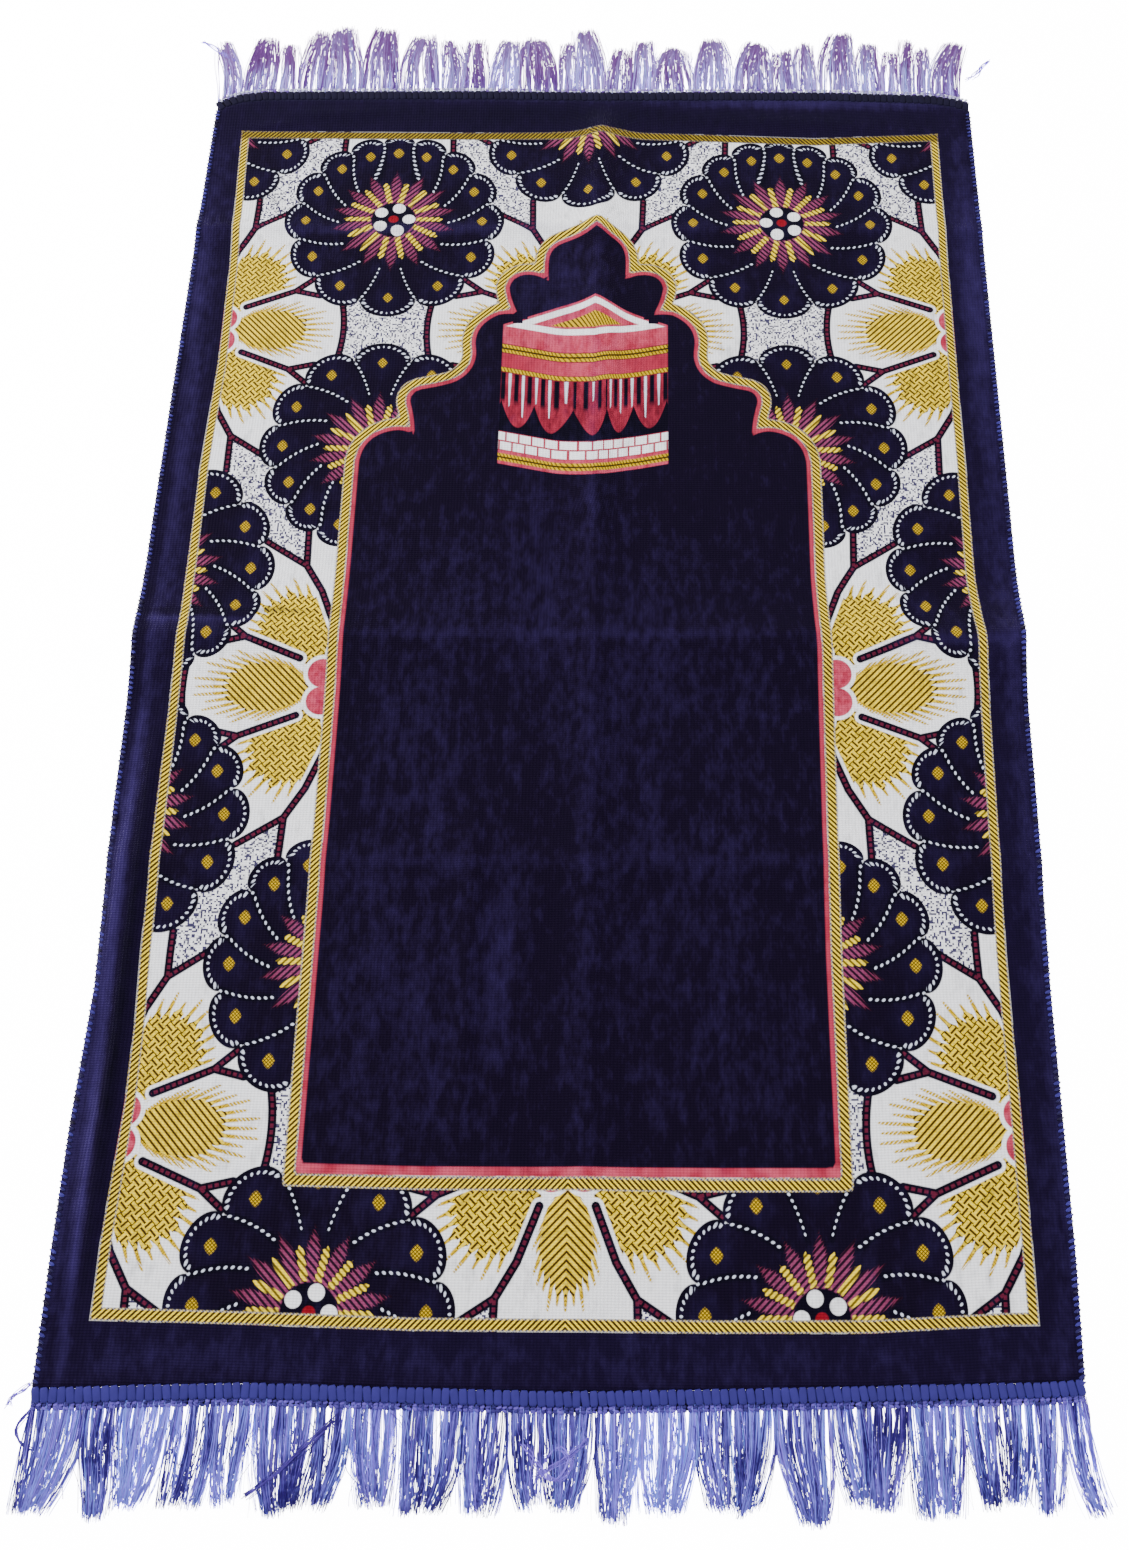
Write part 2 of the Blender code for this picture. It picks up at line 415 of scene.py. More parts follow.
def side_edge(y, side):
    """Place of the left (-1) or right (1) long edge."""
    return side * (RUG_WIDTH / 2 - between(SIDE_EDGES, y, 1 if side < 0 else 2))


def heading_edge(x, facing):
    """Outer edge of the near (-1) or far (1) heading."""
    inset = between(END_EDGES, x / LOCK_PITCH, 1 if facing < 0 else 2)
    return facing * (RUG_LENGTH / 2 - inset)


def ridge_height(x, y):
    """Height of the solid's folds, with their crests rounded off."""
    height = 0.0
    for runs, place, half_width, start, stop, start_height, stop_height, fades in RIDGES:
        across, along = (y, x) if runs == "across" else (x, y)
        offset = math.hypot((across - place) / half_width, CREST_ROUNDING) - CREST_ROUNDING
        if offset >= 1.0 or not start <= along < stop:
            continue
        crest = start_height + (stop_height - start_height) * (along - start) / (stop - start)
        if fades:
            crest *= smooth((along - start) / RIDGE_FADE) * smooth((stop - along) / RIDGE_FADE)
        height += crest * (1.0 - offset) ** 2
    return height


def crease_height(x, y):
    """Height of the small creases, each a soft ridge that dies out at both ends."""
    height = 0.0
    for across, along, half_length, half_width, crest, turn in CREASES:
        lean = math.radians(turn)
        aside, ahead = x * 1000.0 - across, y * 1000.0 - along
        run = (ahead * math.cos(lean) + aside * math.sin(lean)) / half_length
        offset = (aside * math.cos(lean) - ahead * math.sin(lean)) / half_width
        if abs(run) < 1.0 and abs(offset) < 3.0:
            height += crest * (1.0 - run * run) ** 2 * math.exp(-offset * offset)
    return height / 1000.0


def sheen_and_shade_mark(x, y):
    """How lit the pile looks where it is brushed towards the near end or creased: painted sheen
    above 0, painted shade below 0.
    """
    mark = 0.0
    for across, along, half_width, half_length, strength in SHEEN_AND_SHADE_MARKS:
        aside, ahead = x * 1000.0 - across, y * 1000.0 - along
        reach = (aside / half_width) ** 2 + (ahead / half_length) ** 2
        mark += strength * math.exp(-reach)
    return mark


def cloth_place(share_across, share_along):
    """The place on the floor of a point of the cloth, from its shares of the width and length."""
    x = (share_across - 0.5) * RUG_WIDTH
    y = (share_along - 0.5) * 2.0 * CLOTH_END
    side = 1 if x > 0 else -1
    edge_shift = side_edge(y, side) - side * RUG_WIDTH / 2
    x += edge_shift * smooth((abs(x) - RUG_WIDTH / 2 + SIDE_EASE_LENGTH) / SIDE_EASE_LENGTH)
    facing = 1 if y > 0 else -1
    end_shift = heading_edge(x, facing) - facing * RUG_LENGTH / 2
    y += end_shift * smooth((abs(y) - CLOTH_END + END_SHIFT_LENGTH) / END_SHIFT_LENGTH)
    return x, y


def layout_place(x, y):
    """Where a place on the floor lies in the woven layout, in millimetres."""
    across, along = x * 1000.0, y * 1000.0
    side, column = (-1, 1) if across < 0 else (1, 2)
    inward = (FRAME_HALF_WIDTH - abs(across)) / DRIFT_REACH[column - 1]
    drift = between(FRAME_DRIFT_SIDES, along, column) * smooth(1.0 - inward)
    facing, column = (-1, 1) if along < 0 else (1, 2)
    near_end = abs(along - LAYOUT_CENTRE) - FRAME_HALF_LENGTH + END_DRIFT_REACH
    end_drift = between(FRAME_DRIFT_ENDS, across, column) * smooth(near_end / END_DRIFT_REACH)
    middle, half_width, most = FOLD_DRIFT
    start, stop, ease = FOLD_DRIFT_ENDS
    fold_drift = most * max(1.0 - ((across - middle) / half_width) ** 2, 0.0) ** 2
    fold_drift *= smooth((along - start) / ease) * smooth((stop - along) / ease)
    return across + side * drift - fold_drift, along - facing * end_drift


def niche_outline():
    """Points along the niche's inner line, right half, with each bowed stretch as an arc."""
    points = [Vector(NICHE_LINE[0][:2])]
    for across, along, bow in NICHE_LINE[1:]:
        start, end = points[-1].copy(), Vector((across, along))
        chord = end - start
        outward = Vector((chord.y, -chord.x))
        steps = ARC_STEPS if bow else 1
        for step in range(1, steps + 1):
            share = step / steps
            points.append(start + chord * share + outward * (4.0 * bow * share * (1.0 - share)))
    return np.array(points)


def niche_distances(places):
    """Signed distance of each layout place from the niche's inner line, positive outside."""
    outline = niche_outline()
    x, y = np.abs(places[:, :1]), places[:, 1:]
    ax, ay = outline[:-1, 0], outline[:-1, 1]
    bx, by = outline[1:, 0], outline[1:, 1]
    dx, dy = bx - ax, by - ay
    share = np.clip(((x - ax) * dx + (y - ay) * dy) / (dx * dx + dy * dy), 0.0, 1.0)
    distance = np.hypot(x - ax - share * dx, y - ay - share * dy).min(axis=1)
    crosses = (ay > y) != (by > y)
    with np.errstate(divide="ignore", invalid="ignore"):
        meets = ax + (y - ay) / dy * dx
    inside = (crosses & (meets > x)).sum(axis=1) % 2 == 1
    distance = np.where(inside, -distance, distance)
    foot_side, foot_end = NICHE_LINE[1][:2]
    below = foot_end - y[:, 0]
    past_pink = below - FOOT_PINK + SIDE_PINK
    below = np.where(below < FOOT_PINK, below * SIDE_PINK / FOOT_PINK, past_pink)
    return np.where(y[:, 0] < foot_end, np.maximum(x[:, 0] - foot_side, below), distance)


def new_mesh(name, points, faces):
    mesh = bpy.data.meshes.new(name)
    mesh.from_pydata(points, [], faces)
    mesh.validate()
    piece = bpy.data.objects.new(name, mesh)
    bpy.context.scene.collection.objects.link(piece)
    return piece


def store_numbers(piece, name, values):
    """Keep one number for each vertex of a piece, for its finish to read."""
    layer = piece.data.attributes.new(name, "FLOAT", "POINT")
    layer.data.foreach_set("value", np.asarray(values, dtype=np.float32))


# ==== materials and node arithmetic


def new_material(name):
    """An empty material made of nodes."""
    material = bpy.data.materials.new(name)
    material.use_nodes = True
    return material


def surface(material, values):
    """Feed a material's shader, by the names of its sockets."""
    tree = material.node_tree
    for label, value in values.items():
        feed(tree, tree.nodes["Principled BSDF"].inputs[label], value)


def relief(material, height, depth):
    """Bump a material's surface by a height, in metres for each unit."""
    tree = material.node_tree
    bump = tree.nodes.new("ShaderNodeBump")
    feed(tree, bump.inputs["Distance"], depth)
    feed(tree, bump.inputs["Height"], height)
    surface(material, {"Normal": Wire(tree, bump.outputs[0])})


class Wire:
    """A value that runs through a node tree. Arithmetic on wires adds the Math nodes for it."""

    def __init__(self, tree, socket):
        self.tree = tree
        self.socket = socket

    def math(self, operation, *others, clamp=False):
        return math_node(self.tree, operation, (self, *others), clamp)

    def __add__(self, other):
        return self.math("ADD", other)

    def __radd__(self, other):
        return self.math("ADD", other)

    def __sub__(self, other):
        return self.math("SUBTRACT", other)

    def __rsub__(self, other):
        return math_node(self.tree, "SUBTRACT", (other, self))

    def __mul__(self, other):
        return self.math("MULTIPLY", other)

    def __truediv__(self, other):
        return self.math("DIVIDE", other)

    def __rtruediv__(self, other):
        return math_node(self.tree, "DIVIDE", (other, self))

    def __pow__(self, other):
        return self.math("POWER", other)

    def size(self):
        return self.math("ABSOLUTE")

    def least(self, other):
        return self.math("MINIMUM", other)

    def most(self, other):
        return self.math("MAXIMUM", other)

    def swing(self, reach):
        """Rise and fall between 0 and reach, 0 at 0 and at every even multiple of reach."""
        return self.math("PINGPONG", reach)

    def sine(self):
        return self.math("SINE")

    def whole(self):
        return self.math("FLOOR")

    def over(self, edge, soft):
        """1 above an edge and 0 below it, changing over a soft width."""
        return self.math("MULTIPLY_ADD", 1.0 / soft, 0.5 - edge / soft, clamp=True)

    def under(self, edge, soft):
        """1 below an edge and 0 above it, changing over a soft width."""
        return self.math("MULTIPLY_ADD", -1.0 / soft, 0.5 + edge / soft, clamp=True)

    def opposite(self):
        return 1.0 - self

    def choose(self, low, high):
        """low where this mask is 0 and high where it is 1."""
        return (high - low) * self + low


def math_node(tree, operation, values, clamp=False):
    node = tree.nodes.new("ShaderNodeMath")
    node.operation = operation
    node.use_clamp = clamp
    for socket, value in zip(node.inputs, values):
        feed(tree, socket, value)
    return Wire(tree, node.outputs[0])


def feed(tree, socket, value):
    """Link a wire to a socket, or set the socket to a plain value."""
    if isinstance(value, Wire):
        tree.links.new(value.socket, socket)
    elif hasattr(value, "__len__") and len(value) == 3 and socket.type == "RGBA":
        socket.default_value = (*value, 1.0)
    else:
        socket.default_value = value


def span(x, y):
    """Length of a step of x across and y along."""
    return (x * x + y * y).math("SQRT")


def paint(tree, mask, under, over):
    """The colour under with the colour over on top where the mask is 1."""
    node = tree.nodes.new("ShaderNodeMix")
    node.data_type = "RGBA"
    feed(tree, node.inputs[0], mask)
    feed(tree, node.inputs[6], under)
    feed(tree, node.inputs[7], over)
    return Wire(tree, node.outputs[2])


def start_group(name, inputs, outputs):
    """A node group with named numbers in and out, apart from Color, which is a colour."""
    tree = bpy.data.node_groups.new(name, "ShaderNodeTree")
    for label in inputs:
        tree.interface.new_socket(name=label, in_out="INPUT", socket_type="NodeSocketFloat")
    for label in outputs:
        kind = "NodeSocketColor" if label == "Color" else "NodeSocketFloat"
        tree.interface.new_socket(name=label, in_out="OUTPUT", socket_type=kind)
    entry = tree.nodes.new("NodeGroupInput")
    leave = tree.nodes.new("NodeGroupOutput")
    return tree, [Wire(tree, entry.outputs[label]) for label in inputs], leave


def end_group(tree, leave, **values):
    """Feed a group's outputs by name, and return the group."""
    for label, value in values.items():
        feed(tree, leave.inputs[label], value)
    return tree


def place_group(tree, group, values):
    """Place a group in a tree with values on its inputs, and return its output wires by name."""
    node = tree.nodes.new("ShaderNodeGroup")
    node.node_tree = group
    for label, value in values.items():
        feed(tree, node.inputs[label], value)
    return {socket.name: Wire(tree, socket) for socket in node.outputs}


def read_layout(tree):
    """Places in the woven layout in millimetres, across and along."""
    node = tree.nodes.new("ShaderNodeUVMap")
    node.uv_map = "weave_layout"
    split = tree.nodes.new("ShaderNodeSeparateXYZ")
    tree.links.new(node.outputs[0], split.inputs[0])
    return Wire(tree, split.outputs[0]) * 1000.0, Wire(tree, split.outputs[1]) * 1000.0


def read_number(tree, name):
    node = tree.nodes.new("ShaderNodeAttribute")
    node.attribute_name = name
    return Wire(tree, node.outputs["Fac"])


def noise(tree, scale, detail=2.0, stretch=None, roughness=0.5):
    """Soft noise on object coordinates, in blotches per metre."""
    node = tree.nodes.new("ShaderNodeTexNoise")
    node.inputs["Scale"].default_value = scale
    node.inputs["Detail"].default_value = detail
    node.inputs["Roughness"].default_value = roughness
    place = tree.nodes.new("ShaderNodeTexCoord").outputs["Object"]
    if stretch:
        mapping = tree.nodes.new("ShaderNodeMapping")
        mapping.inputs["Scale"].default_value = stretch
        tree.links.new(place, mapping.inputs["Vector"])
        place = mapping.outputs[0]
    tree.links.new(place, node.inputs["Vector"])
    return Wire(tree, node.outputs["Fac"])


# ==== woven motifs, in millimetres

EDGE = 0.8  # width over which one woven colour gives way to the next

ROSETTE_STEP = 17.2  # degrees from one petal boundary to the next at the front
ROSETTE_GROWTH = 1.216  # how much wider each petal is than the one before it
PETAL_BACK = 4.0  # the petals' middle lies this far behind the wheel's
PETAL_SQUEEZE = 1.03  # how much narrower than long the ring of petals is
PETAL_TURN = 84.0  # radius inside which the seams between petals curve
PETAL_TIP = 99.0  # radius of the petals' tips
PETAL_ROUNDING = 0.98  # depth of a notch between petals, for each degree of half a petal
PEARL_INSET = 4.0  # from a petal's tip to its row of pearls
PEARL_PITCH = 4.5
SPOT_RADIUS = 79.0  # of the ring of gold spots
WHEEL_STEP = 180.0 / 14.0  # degrees from a flame to the bar beside it
FLAME_TIP = 58.0  # radius of the flames' tips
BAR_TAPER = 40.0  # radius from which the bars taper
HATCH = 1.8  # half the pitch of the hatching on the wheel
DISC_RADIUS = 18.5
DOT_RING = 13.4  # radius of the ring of dots on the disc
DOT_STEP = 36.0  # degrees, half the step from one dot to the next


def pearl_dots(beside, along):
    """Pearls, from the distance to their line and from the nearest pearl along it."""
    return span(beside, along).under(1.12, 0.6)


def petal_masks(across, along):
    """The petals' cover, dark rims and pearls, and the turn of each petal's middle in degrees."""
    x = across.size() * PETAL_SQUEEZE
    y = along + PETAL_BACK
    radius = span(x, y)
    angle = x.math("ARCTAN2", y) * math.degrees(1.0)
    swirl = (angle * 0.02).least((180.0 - angle) * 0.015).least(0.42)
    turned = angle - swirl * (PETAL_TURN - radius).most(0.0)
    root = (turned * (4.0 * ROSETTE_GROWTH) + ROSETTE_STEP**2).math("SQRT")
    petal = ((root - ROSETTE_STEP) / (2.0 * ROSETTE_GROWTH) + 0.5).whole().most(0.0).least(7.0)
    middle = petal * ROSETTE_STEP + petal * petal * ROSETTE_GROWTH + ROSETTE_GROWTH / 4
    half = petal * ROSETTE_GROWTH + ROSETTE_STEP / 2
    side = (turned - middle) / half
    reach = half * PETAL_ROUNDING
    past_notch = radius - (PETAL_TIP - reach)
    tip = past_notch / reach
    lobe = span(tip.most(0.0), side)
    half_width = half * radius * math.radians(1.0)
    beside_seam = (1.0 - side.size()).size() * half_width
    squared = side * side
    pearl_line = 1.0 - PEARL_INSET / reach * (1.0 - squared * squared)
    slope = span(tip / reach, side / half_width)
    round_lobe = side.math("ARCTAN2", tip)
    lobe_run = span(tip * half_width, side * reach) / span(tip, side).most(0.01) * 0.86
    pearl_turn = PEARL_PITCH / ((half_width + reach) * 0.43)
    along_lobe = round_lobe.swing(pearl_turn * 0.5) * lobe_run
    outer_pearls = pearl_dots((lobe - pearl_line) * lobe / slope, along_lobe)
    outer_pearls = outer_pearls * past_notch.over(1.0, 0.5) * side.size().under(0.88, 0.04)
    seam_pearls = pearl_dots(beside_seam, radius.swing(PEARL_PITCH / 2))
    seam_pearls = seam_pearls * radius.over(48.0, 1.0) * past_notch.under(1.0, 0.5)
    inside = past_notch.under(0.0, 1.0)
    rim = ((lobe - 1.0) * reach).over(-2.6, 1.0) * inside.opposite()
    rim = rim.most(beside_seam.under(3.2, 1.6)) * radius.over(44.0, 6.0)
    return lobe.under(1.0, 0.05).most(inside), rim, outer_pearls.most(seam_pearls), middle


def rosette_group(palette):
    """Fourteen dark petals edged with pearls, lapped from the front back, round a wheel."""
    tree, (across, along), leave = start_group(
        "rosette", ("Across", "Along"), ("Color", "Cover", "Gold")
    )
    cover, rim, pearls, middle = petal_masks(across, along)
    spot_turn = middle * math.radians(1.0)
    spot_x = (across.size() - spot_turn.sine() * (SPOT_RADIUS / PETAL_SQUEEZE)).size() * 1.12
    spot_y = (along + PETAL_BACK - spot_turn.math("COSINE") * SPOT_RADIUS).size() * 0.90
    spot = (spot_x + spot_y) * 0.42 + span(spot_x, spot_y) * 0.5
    gold_spot = spot.under(4.3, 1.4)
    spot_weave = (across + along).swing(1.3).least((across - along).swing(1.3))
    spot_colour = paint(tree, spot_weave.under(0.40, 0.5), palette.gold, palette.gold_dark)

    inner = span(across, along)
    wheel_angle = across.size().math("ARCTAN2", along) * math.degrees(1.0)
    flame_turn = wheel_angle.swing(WHEEL_STEP)
    arc = inner * math.radians(1.0)
    hatch_way = across * 0.72 + along * 0.72
    flame_hatch = hatch_way.swing(HATCH)
    bar_hatch = (hatch_way + HATCH / 2).swing(HATCH)
    flame_width = ((FLAME_TIP - inner) * 0.40).least(6.2)
    flames = (flame_width - flame_turn * arc - flame_hatch * 1.7).over(0.0, 0.9)
    flames = flames * inner.over(19.0, 1.0)
    beside_bar = (WHEEL_STEP - flame_turn) * arc
    bars = beside_bar + (inner - BAR_TAPER).most(0.0) * 0.9 + bar_hatch * 0.6
    bars = bars.under(2.75, 0.9) * inner.over(20.0, 1.0)
    dot_angle = along.math("ARCTAN2", across) * math.degrees(1.0) + 180.0
    dot_turn = dot_angle.swing(DOT_STEP) * math.radians(1.0)
    dot_gap = span(inner - dot_turn.math("COSINE") * DOT_RING, dot_turn.sine() * DOT_RING)
    dots = dot_gap.under(5.5, EDGE) * inner.over(5.0, EDGE)
    flame_colour = paint(tree, inner.over(46.0, 16.0), palette.magenta, palette.maroon)
    hatched = flame_hatch.under(0.85, 0.6) * 0.95
    flame_colour = paint(tree, hatched, flame_colour, palette.navy_dark)
    # the bars are gold in the colour of its painted highlight, hatched dark
    hatched = bar_hatch.over(1.0, 0.7) * 0.9
    bar_colour = paint(tree, hatched, palette.gold_highlight, palette.gold_dark)

    colour = paint(tree, spot.under(11.0, 14.0) * 0.7, palette.navy, palette.navy_soft)
    for mask, over in (
        (rim, palette.navy_dark),
        (pearls, palette.pearl),
        (gold_spot, spot_colour),
        (flames, flame_colour),
        (bars, bar_colour),
        (inner.under(DISC_RADIUS, 1.0), palette.navy_dark),
        (dots, palette.white),
        (inner.under(4.4, EDGE), palette.red),
    ):
        colour = paint(tree, mask, colour, over)
    return end_group(tree, leave, Color=colour, Cover=cover, Gold=gold_spot.most(bars) * cover)


STEMS = (
    # from across, from along, to across, to along
    (45.0, 23.0, 88.0, 40.0),
    (88.0, 40.0, 110.0, 35.0),
    (88.0, 40.0, 104.0, 53.0),
    (19.0, 47.0, 33.0, 82.0),
    (33.0, 82.0, 47.0, 105.0),
    (47.0, 105.0, 80.0, 126.0),
    (47.0, 105.0, 48.0, 138.0),
)
STEM_ARC = 133.0  # radius of the stem that runs round a fan
STEM_HALF = (3.1, 0.9)  # half widths and how softly they end: the stem, its core and its margins
CORE_HALF = (1.15, 0.7)
MARGIN_HALF = (5.6, 0.9)
DASH_GAP = (0.8, 0.6)
LEAF_FOCUS = 35.0
LEAF_LENGTH = 70.0
UPRIGHT_FROM = math.radians(67.5)  # turn from which a leaf is the upright one
SLANTED_FROM = math.radians(22.5)
SLANTED_AXIS = math.radians(45.5)
SLANTED_HALF = math.radians(21.0)
RAY_STEP = math.radians(4.4)
TWILL = 2.7  # half the pitch of the leaves' weave
SPECK_SIZE = 1.3


def stem_masks(x, y):
    """Dark stems, the dashes of their lighter core, and the stems with their white margins."""
    stems, dashes = None, None
    for from_x, from_y, to_x, to_y in STEMS:
        run_x, run_y = to_x - from_x, to_y - from_y
        length = math.hypot(run_x, run_y)
        ahead = (x - from_x) * (run_x / length) + (y - from_y) * (run_y / length)
        beside = (x - from_x) * (-run_y / length) + (y - from_y) * (run_x / length)
        past = ahead - ahead.most(0.0).least(length)
        away = span(beside, past)
        dash = away.under(*CORE_HALF) * ahead.swing(PEARL_PITCH / 2).over(*DASH_GAP)
        stems = away if stems is None else stems.least(away)
        dashes = dash if dashes is None else dashes.most(dash)
    arc = (span(x, y) - STEM_ARC).size()
    low = (y - x * 0.23).under(0.0, 1.0)
    arc_dash = arc.under(*CORE_HALF) * low * y.swing(PEARL_PITCH / 2).over(*DASH_GAP)
    dark = stems.under(*STEM_HALF).most(arc.under(*STEM_HALF) * low)
    return dark, dashes.most(arc_dash), stems.under(*MARGIN_HALF)


def fan_group(palette):
    """Gold leaves with ragged rays, pink lobes and dashed stems round one fan's middle."""
    tree, (x, y, fold_x, along), leave = start_group(
        "fan", ("Across", "Along", "Layout Across", "Layout Along"), ("Color", "Gold")
    )
    lift = y.math("ARCTAN2", x)
    upright = lift.over(UPRIGHT_FROM, 0.01)
    slanted = lift.over(SLANTED_FROM, 0.01) * upright.opposite()
    axis = slanted * SLANTED_AXIS + upright * math.radians(90.0)
    power = upright * 0.8 - slanted * 2.3 + 3.7
    ahead = x * axis.math("COSINE") + y * axis.sine() - LEAF_FOCUS
    beside = y * axis.math("COSINE") - x * axis.sine()
    reach = span(ahead, beside)
    lean = (ahead / reach.most(0.01)).most(0.0)
    body_reach = lean**power * LEAF_LENGTH
    step = slanted * (RAY_STEP * 0.5) + RAY_STEP
    ray_place = beside.math("ARCTAN2", ahead) / step + 0.5
    uneven = (ray_place.whole() * 2.4).sine()
    beside_ray = (ray_place.math("FRACT") - 0.5).size() * step * reach
    in_wedge = (lift - SLANTED_AXIS).size().under(SLANTED_HALF, 0.02).most(slanted.opposite())
    body = (body_reach - reach - beside_ray.least(3.0) * (uneven + 2.2)).over(0.0, 1.2) * in_wedge
    longer = uneven * 4.0 + 16.0 - slanted * 9.0 - upright * 10.0
    tip_reach = body_reach * 1.03 + lean * longer
    ray_width = (tip_reach - reach).most(0.0).least(8.0) * 0.08 + 0.75
    rays = (tip_reach - reach).over(0.0, 1.2) * (ray_width - beside_ray).over(0.0, 0.8)
    rising = along - fold_x
    falling = along + fold_x
    steps = rising.swing(1.5).over(0.35, 0.6).most((body_reach + 5.0 - reach).over(0.0, 3.0))
    rays = rays * lean.over(0.12, 0.05) * in_wedge * steps

    first = rising.swing(TWILL)
    second = falling.swing(TWILL)
    checks = (rising / (3 * TWILL)).whole() + (falling / (3 * TWILL)).whole()
    basket = checks.swing(1.0).choose(first, second)
    bars = slanted.choose(upright.choose(first, second), basket)
    # painted highlight on the twill's crests
    gold = paint(tree, bars.over(1.5, 1.0), palette.gold, palette.gold_highlight)
    # random darker mottle on the gold
    dark_mottle = noise(tree, 240.0, 2.0).over(0.52, 0.2) * noise(tree, 45.0, 1.0).over(0.45, 0.3)
    gaps = bars.under(0.95, 0.6).most(dark_mottle * 0.35)
    gold = paint(tree, gaps, gold, palette.gold_dark)
    gaps = falling.swing(1.3).under(0.4, 0.5) * 0.6
    ray_colour = paint(tree, gaps, palette.gold, palette.gold_dark)

    wide = span(x, y).over(STEM_ARC, 1.0) * (y - x * 0.466).under(0.0, 1.0)
    high = x.over(47.5, 1.0) * (y - x * 0.636 - 75.1).over(0.0, 1.0)
    stippled = wide.most(high) * speckle(tree, fold_x, along)
    stems, dashes, margins = stem_masks(x, y)
    rays = rays * margins.opposite()
    body = body * margins.opposite()
    lobe = span(x.most(y) - 26.8, x.least(y) - 11.1)
    blush = paint(tree, noise(tree, 190.0, 2.0).over(0.5, 0.3), palette.crimson, palette.pink)
    colour = palette.white
    for mask, over in (
        (stippled, palette.speck),
        (stems, palette.navy_dark),
        (dashes, palette.maroon),
        (rays, ray_colour),
        (body, gold),
        (lobe.under(14.5, EDGE), palette.white),
        (lobe.under(11.5, EDGE), blush),
    ):
        colour = paint(tree, mask, colour, over)
    return end_group(tree, leave, Color=colour, Gold=body.most(rays))


def speckle(tree, x, y):
    """Scattered dark specks of about a millimetre."""
    node = tree.nodes.new("ShaderNodeTexWhiteNoise")
    node.noise_dimensions = "2D"
    join = tree.nodes.new("ShaderNodeCombineXYZ")
    feed(tree, join.inputs[0], (x / SPECK_SIZE).whole())
    feed(tree, join.inputs[1], (y / SPECK_SIZE).whole())
    tree.links.new(join.outputs[0], node.inputs["Vector"])
    return Wire(tree, node.outputs["Value"]).over(0.66, 0.1)


ROPE_WIDTH = 8.2
ROPE_STRAND = 1.95  # half the pitch of the rope's strands
ROPE_BEAD = 1.1


def rope_group(palette):
    """A gold rope band: slanting strands with a painted highlight along each, dark gaps and a dotted
    edge on both sides.
    """
    tree, (depth, width, x, along), leave = start_group(
        "rope", ("Depth", "Width", "Layout Across", "Layout Along"), ("Color", "Cover")
    )
    # painted highlight along the middle of each strand
    strand = (x + along).swing(ROPE_STRAND)
    colour = paint(tree, strand.over(1.0, 1.0), palette.gold, palette.gold_highlight)
    colour = paint(tree, strand.under(1.0, 0.5), colour, palette.gold_dark)
    outside = depth.under(1.0, EDGE).most((width - depth).under(1.0, EDGE))
    beads = (x - along).swing(ROPE_BEAD).under(0.6, 0.6)
    edge = paint(tree, beads * 0.5, palette.speck, palette.white)
    colour = paint(tree, outside * 0.6, colour, edge)
    cover = depth.over(0.0, EDGE) * (width - depth).over(0.0, EDGE)
    return end_group(tree, leave, Color=colour, Cover=cover)


HOUSE_SLOPE = 14.0  # how far the foot and the gable rise from the middle to the sides
BRICK_FOOT = 13.0  # heights above the foot
HANGING_TOP = 90.0
BRICK = (10.5, 9.0)  # length and height of a brick
SCALLOP = 13.6  # half the pitch of the hangings' scallops
DROP_STEP = 5.5  # half the pitch of the white drops


